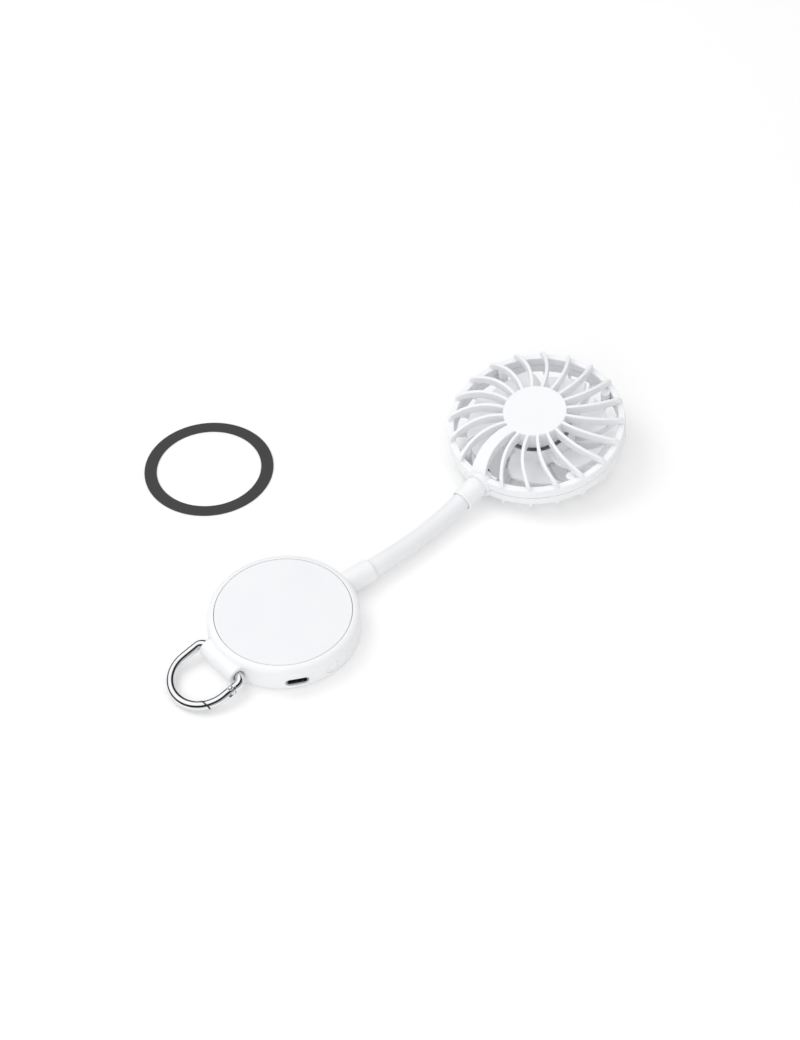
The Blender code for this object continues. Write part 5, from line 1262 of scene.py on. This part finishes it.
def boss(side):
    """Half of the boss that holds the neck's collar, cut at the parting plane."""
    shape = turned(mm((0, 39.1, 0), (6.3, 39.1, 0.5), (6.3, 35.4, 0), (0, 35.4, 0)),
                   ROUND_STEPS, place=along((-1, 0, 0)))
    cut = bmesh.ops.bisect_plane(
        shape, geom=shape.verts[:] + shape.edges[:] + shape.faces[:],
        plane_co=(0, 0, parting(side)), plane_no=(0, 0, -side),
        clear_outer=True)["geom_cut"]
    bmesh.ops.edgeloop_fill(shape, edges=[item for item in cut
                                          if isinstance(item, bmesh.types.BMEdge)])
    bmesh.ops.recalc_face_normals(shape, faces=shape.faces)
    return shape


def posts(side):
    low, high = parting(side), side * (RIM_TOP - 0.3 * MM)
    return joined(*[turned([
        (0, high, 0), (POST_RADIUS, high, 0.3 * MM), (POST_RADIUS, low, 0), (0, low, 0)],
        SMALL_STEPS, place=place) for place in POST_PLACES])


def post_holes(radius, low, high):
    return joined(*[cylinder(radius, low, high, HOLE_STEPS, place)
                    for place in POST_PLACES])


def wire_channel():
    blank = block((0, -CHANNEL_WIDTH / 2, 0),
                  (CHANNEL_BLANK, CHANNEL_WIDTH / 2, BLANK_DEPTH))
    blank = sliced(blank, [CHANNEL_BLANK * number / SLICES for number in range(1, SLICES)])
    channel = bent_rib(blank, CHANNEL_START, CHANNEL_END, lambda share: 1.0,
                       lambda share: rib_bottom(max(share, 0)) + CHANNEL_DEPTH,
                       lambda share: rib_bottom(max(share, 0)) - MM)
    return laid(channel, Matrix.Rotation(WIDE_RIB, 4, "Z"))


def cage(side):
    """The front half (side 1) or the rear half (side -1) in the head's frame."""
    ribs = rib_ring(side > 0)
    if side < 0:
        bmesh.ops.scale(ribs, vec=(1, 1, -1), verts=ribs.verts)
        bmesh.ops.reverse_faces(ribs, faces=ribs.faces)
        holes = [post_holes(SCREW_HOLE, -6 * MM, 2 * MM),
                 post_holes(SINK_HOLE, -6 * MM, SINK_SEAT)]
    else:
        holes = [post_holes(SCREW_HOLE, -MM, 3.1 * MM), wire_channel()]
    shape = combine(rim(side), hub(side), boss(side), posts(side), ribs, join=True)
    passage = cylinder(COLLAR_HOLE, RIM_INNER - 2.8 * MM, COLLAR_REACH, ROUND_STEPS,
                       along((-1, 0, 0)))
    return laid(combine(shape, passage, *holes), to_head)


piece("front_cage", cage(1), "white_abs", "head", ["front_grille"])
piece("rear_cage", cage(-1), "white_abs", "head", ["rear_grille"])

# %% [markdown]
# Four small screws come up through the rear rim. Their heads sit in sinks and have a
# cross recess, which is two crossed blocks cut out.

# %% Head screws
SCREW_SEAT = -3.3 * MM
SCREW_TIP = 2.8 * MM
SCREW_END = SCREW_SEAT - 0.9 * MM
SCREW_RADIUS, SCREW_HEAD = 0.6 * MM, 1.2 * MM
CROSS_LONG, CROSS_WIDE = 0.75 * MM, 0.17 * MM


def head_screw(place):
    shape = turned([
        (0, SCREW_TIP, 0), (0.45 * MM, SCREW_TIP, 0),
        (SCREW_RADIUS, SCREW_TIP - 0.4 * MM, 0), (SCREW_RADIUS, SCREW_SEAT, 0),
        (SCREW_HEAD, SCREW_SEAT, 0.1 * MM), (SCREW_HEAD, SCREW_SEAT - 0.6 * MM, 0.1 * MM),
        (0.8 * MM, SCREW_END, 0), (0, SCREW_END, 0)], SMALL_STEPS)
    slots = [block((-x, -y, SCREW_SEAT - 1.5 * MM), (x, y, SCREW_SEAT - 0.45 * MM))
             for x, y in ((CROSS_LONG, CROSS_WIDE), (CROSS_WIDE, CROSS_LONG))]
    return laid(combine(shape, *slots), to_head @ place)


for number, place in enumerate(POST_PLACES, start=1):
    piece(f"cage_screw_{number}", head_screw(place), "steel", "head",
          [f"head_screw_{number}"])

# %% [markdown]
# The motor hangs from the front hub. Its drawn steel can has a rounded shoulder and shows
# between the ribs, so it is turned again here with fine steps.

# %% Motor can
piece("can", turned(mm(
    (10, 8.7, 0.1), (10, -2.5, 0.9), (2.8, -2.5, 0.1), (2.8, -1.9, 0), (9.4, -1.9, 0.4),
    (9.4, 8.7, 0)), HUB_STEPS, closed=True, place=to_head), "motor_steel", "head",
    ["motor_can"])

# %% [markdown]
# The impeller is a cup over the motor with seven twisted blades. A blade starts as a flat
# grid, every point is carried to a place on the twisted surface, and `solidify` gives it
# its wall.

# %% Impeller
BLADE_ROOT = 15.85 * MM
BLADE_TIP = 30.4 * MM
BLADE_COUNT = 7
BLADE_THICKNESS = 1.0 * MM
BLADE_ROOT_TOP, BLADE_TIP_TOP = 1.4 * MM, 2.4 * MM
BLADE_ROOT_DROP, BLADE_TIP_DROP = 6.8 * MM, 5.4 * MM
BLADE_SWEEP = math.radians(14)
BLADE_WRAP = math.radians(40)
BLADE_CAMBER = 0.7 * MM
CUP_STEPS = 120


def blade(number):
    shape = bmesh.new()
    bmesh.ops.create_grid(shape, x_segments=16, y_segments=16, size=0.5)
    for point in shape.verts:
        out, chord = point.co.x + 0.5, point.co.y + 0.5
        radius = BLADE_ROOT + (BLADE_TIP - BLADE_ROOT) * out
        top = BLADE_ROOT_TOP + (BLADE_TIP_TOP - BLADE_ROOT_TOP) * out
        drop = BLADE_ROOT_DROP + (BLADE_TIP_DROP - BLADE_ROOT_DROP) * out
        angle = BLADE_SWEEP * out * out + BLADE_WRAP * (chord - 0.5)
        angle += 2 * math.pi * number / BLADE_COUNT
        point.co = (radius * math.cos(angle), radius * math.sin(angle),
                    top - drop * chord - 4 * BLADE_CAMBER * chord * (1 - chord))
    bmesh.ops.recalc_face_normals(shape, faces=shape.faces)
    bmesh.ops.solidify(shape, geom=shape.faces[:], thickness=BLADE_THICKNESS)
    bmesh.ops.recalc_face_normals(shape, faces=shape.faces)
    return shape


def impeller():
    cup = turned(mm(
        (0, -5.68, 0), (1.15, -5.68, 0), (1.15, -2.9, 0), (3.0, -2.9, 0.2),
        (3.0, -4.7, 0.3), (15.2, -4.7, 0.8), (15.2, 3.0, 0.3), (16.5, 3.0, 0.3),
        (16.5, -6.0, 0.8), (0, -6.0, 0)), CUP_STEPS)
    blades = [blade(number) for number in range(BLADE_COUNT)]
    return laid(combine(cup, *blades, join=True), to_head)


piece("rotor", impeller(), "white_abs", "impeller", ["impeller"])

# %% [markdown]
# The two motor leads start on the circuit board, pass the battery's corner, run through
# the neck beside the core, and reach the motor in the channel under the wide rib. Their
# corners are rounded by cutting each one off again and again.

# %% Motor leads
LEAD_RADIUS, LEAD_SIDES = 0.4 * MM, 14
LEAD_SPREAD = 1.35 * MM
LEAD_APART = 0.6 * MM
LEAD_PAD = Vector((16.0 * MM, -13.9 * MM, 3.8 * MM))
LEAD_TURN = Vector((22.0 * MM, -8.5 * MM, 4.68 * MM))
LEAD_MOUTH, LEAD_LAST = 0.74, -0.1
LEAD_STATIONS = 6
LEAD_UNDER = 0.9 * MM


def softened(points, rounds=3):
    """Round a route's corners by cutting each leg at one and three quarters."""
    for _ in range(rounds):
        cut = [points[0]]
        for first, second in zip(points, points[1:]):
            cut += [first.lerp(second, 0.25), first.lerp(second, 0.75)]
        points = cut + [points[-1]]
    return points


def channel_point(share, across):
    plan = Matrix.Rotation(WIDE_RIB, 2) @ rib_plan(share, across)
    height = rib_bottom(max(share, 0)) + CHANNEL_DEPTH - LEAD_UNDER
    return Vector((plan.x, plan.y, height))


def lead_in_base(side, first):
    offset = Vector((0, side * LEAD_SPREAD, 0))
    start = CORE_START + offset
    points = [LEAD_PAD - Vector((side * LEAD_SPREAD, 0, 0)),
              LEAD_TURN - Vector((side * LEAD_SPREAD / 2, 0, 0)),
              start, start + Vector((1.2 * MM, 0, 0)), first]
    return softened(points)


def lead_in_head(side, last):
    points = [Vector((-32.5 * MM, side * LEAD_SPREAD, 0)),
              Vector((-31.6 * MM, side * LEAD_APART, 2.2 * MM)),
              channel_point(LEAD_MOUTH, -side * LEAD_APART)
              - Vector((0, 0, CHANNEL_DEPTH / 2))]
    for number in range(1, LEAD_STATIONS + 1):
        share = LEAD_MOUTH + (LEAD_LAST - LEAD_MOUTH) * number / LEAD_STATIONS
        points.append(channel_point(share, -side * LEAD_APART))
    return softened([last] + [to_head @ point for point in points])


for colour, side in (("red", 1), ("black", -1)):
    through_neck(f"lead_{colour}", f"wire_{colour}",
                 [[f"motor_lead_{colour}"]] * len(LENGTHS), (LEAD_RADIUS, LEAD_SIDES),
                 lambda first: lead_in_base(side, first),
                 lambda last: lead_in_head(side, last), SIDEWAYS * side * LEAD_SPREAD)

# %% [markdown]
# The loose mounting ring is stamped from thin steel and coated matt black. A magnetic
# base sticks to it wherever it is glued.

# %% Mounting ring
RING_PLACE = Matrix.Translation((27.7 * MM, 95.0 * MM, 0))
RING_STEPS = 200

piece("loose_mounting_ring", turned(mm(
    (28.0, 0.6, 0.15), (28.0, 0, 0.08), (22.7, 0, 0.08), (22.7, 0.6, 0.15)), RING_STEPS,
    closed=True, place=RING_PLACE), "ring_black", "loose_ring", ["mounting_ring"])

# %% [markdown]
# The other nodes are hidden inside and their solids have the right shape, so they stay.
# Each gets the finish of its real material.

# %% Nodes that stay
KEPT = {
    "magnet_ring": "nickel", "magnet_yoke": "steel", "battery": "battery_foil",
    "battery_lead_red": "wire_red", "battery_lead_black": "wire_black",
    "circuit_board": "board_green", "board_screw_1": "steel", "board_screw_2": "steel",
    "tact_switch": "steel", "switch_plunger": "black_plastic", "neck_anchor": "brass",
    "motor_end_cap": "black_plastic", "motor_bush": "brass", "motor_magnet": "ferrite",
    "motor_armature": "armature", "motor_shaft": "steel",
}
for name, finish in KEPT.items():
    for holder in frame["nodes"][name].material_slots:
        holder.material = FINISHES[finish]
print("nodes kept", len(KEPT))
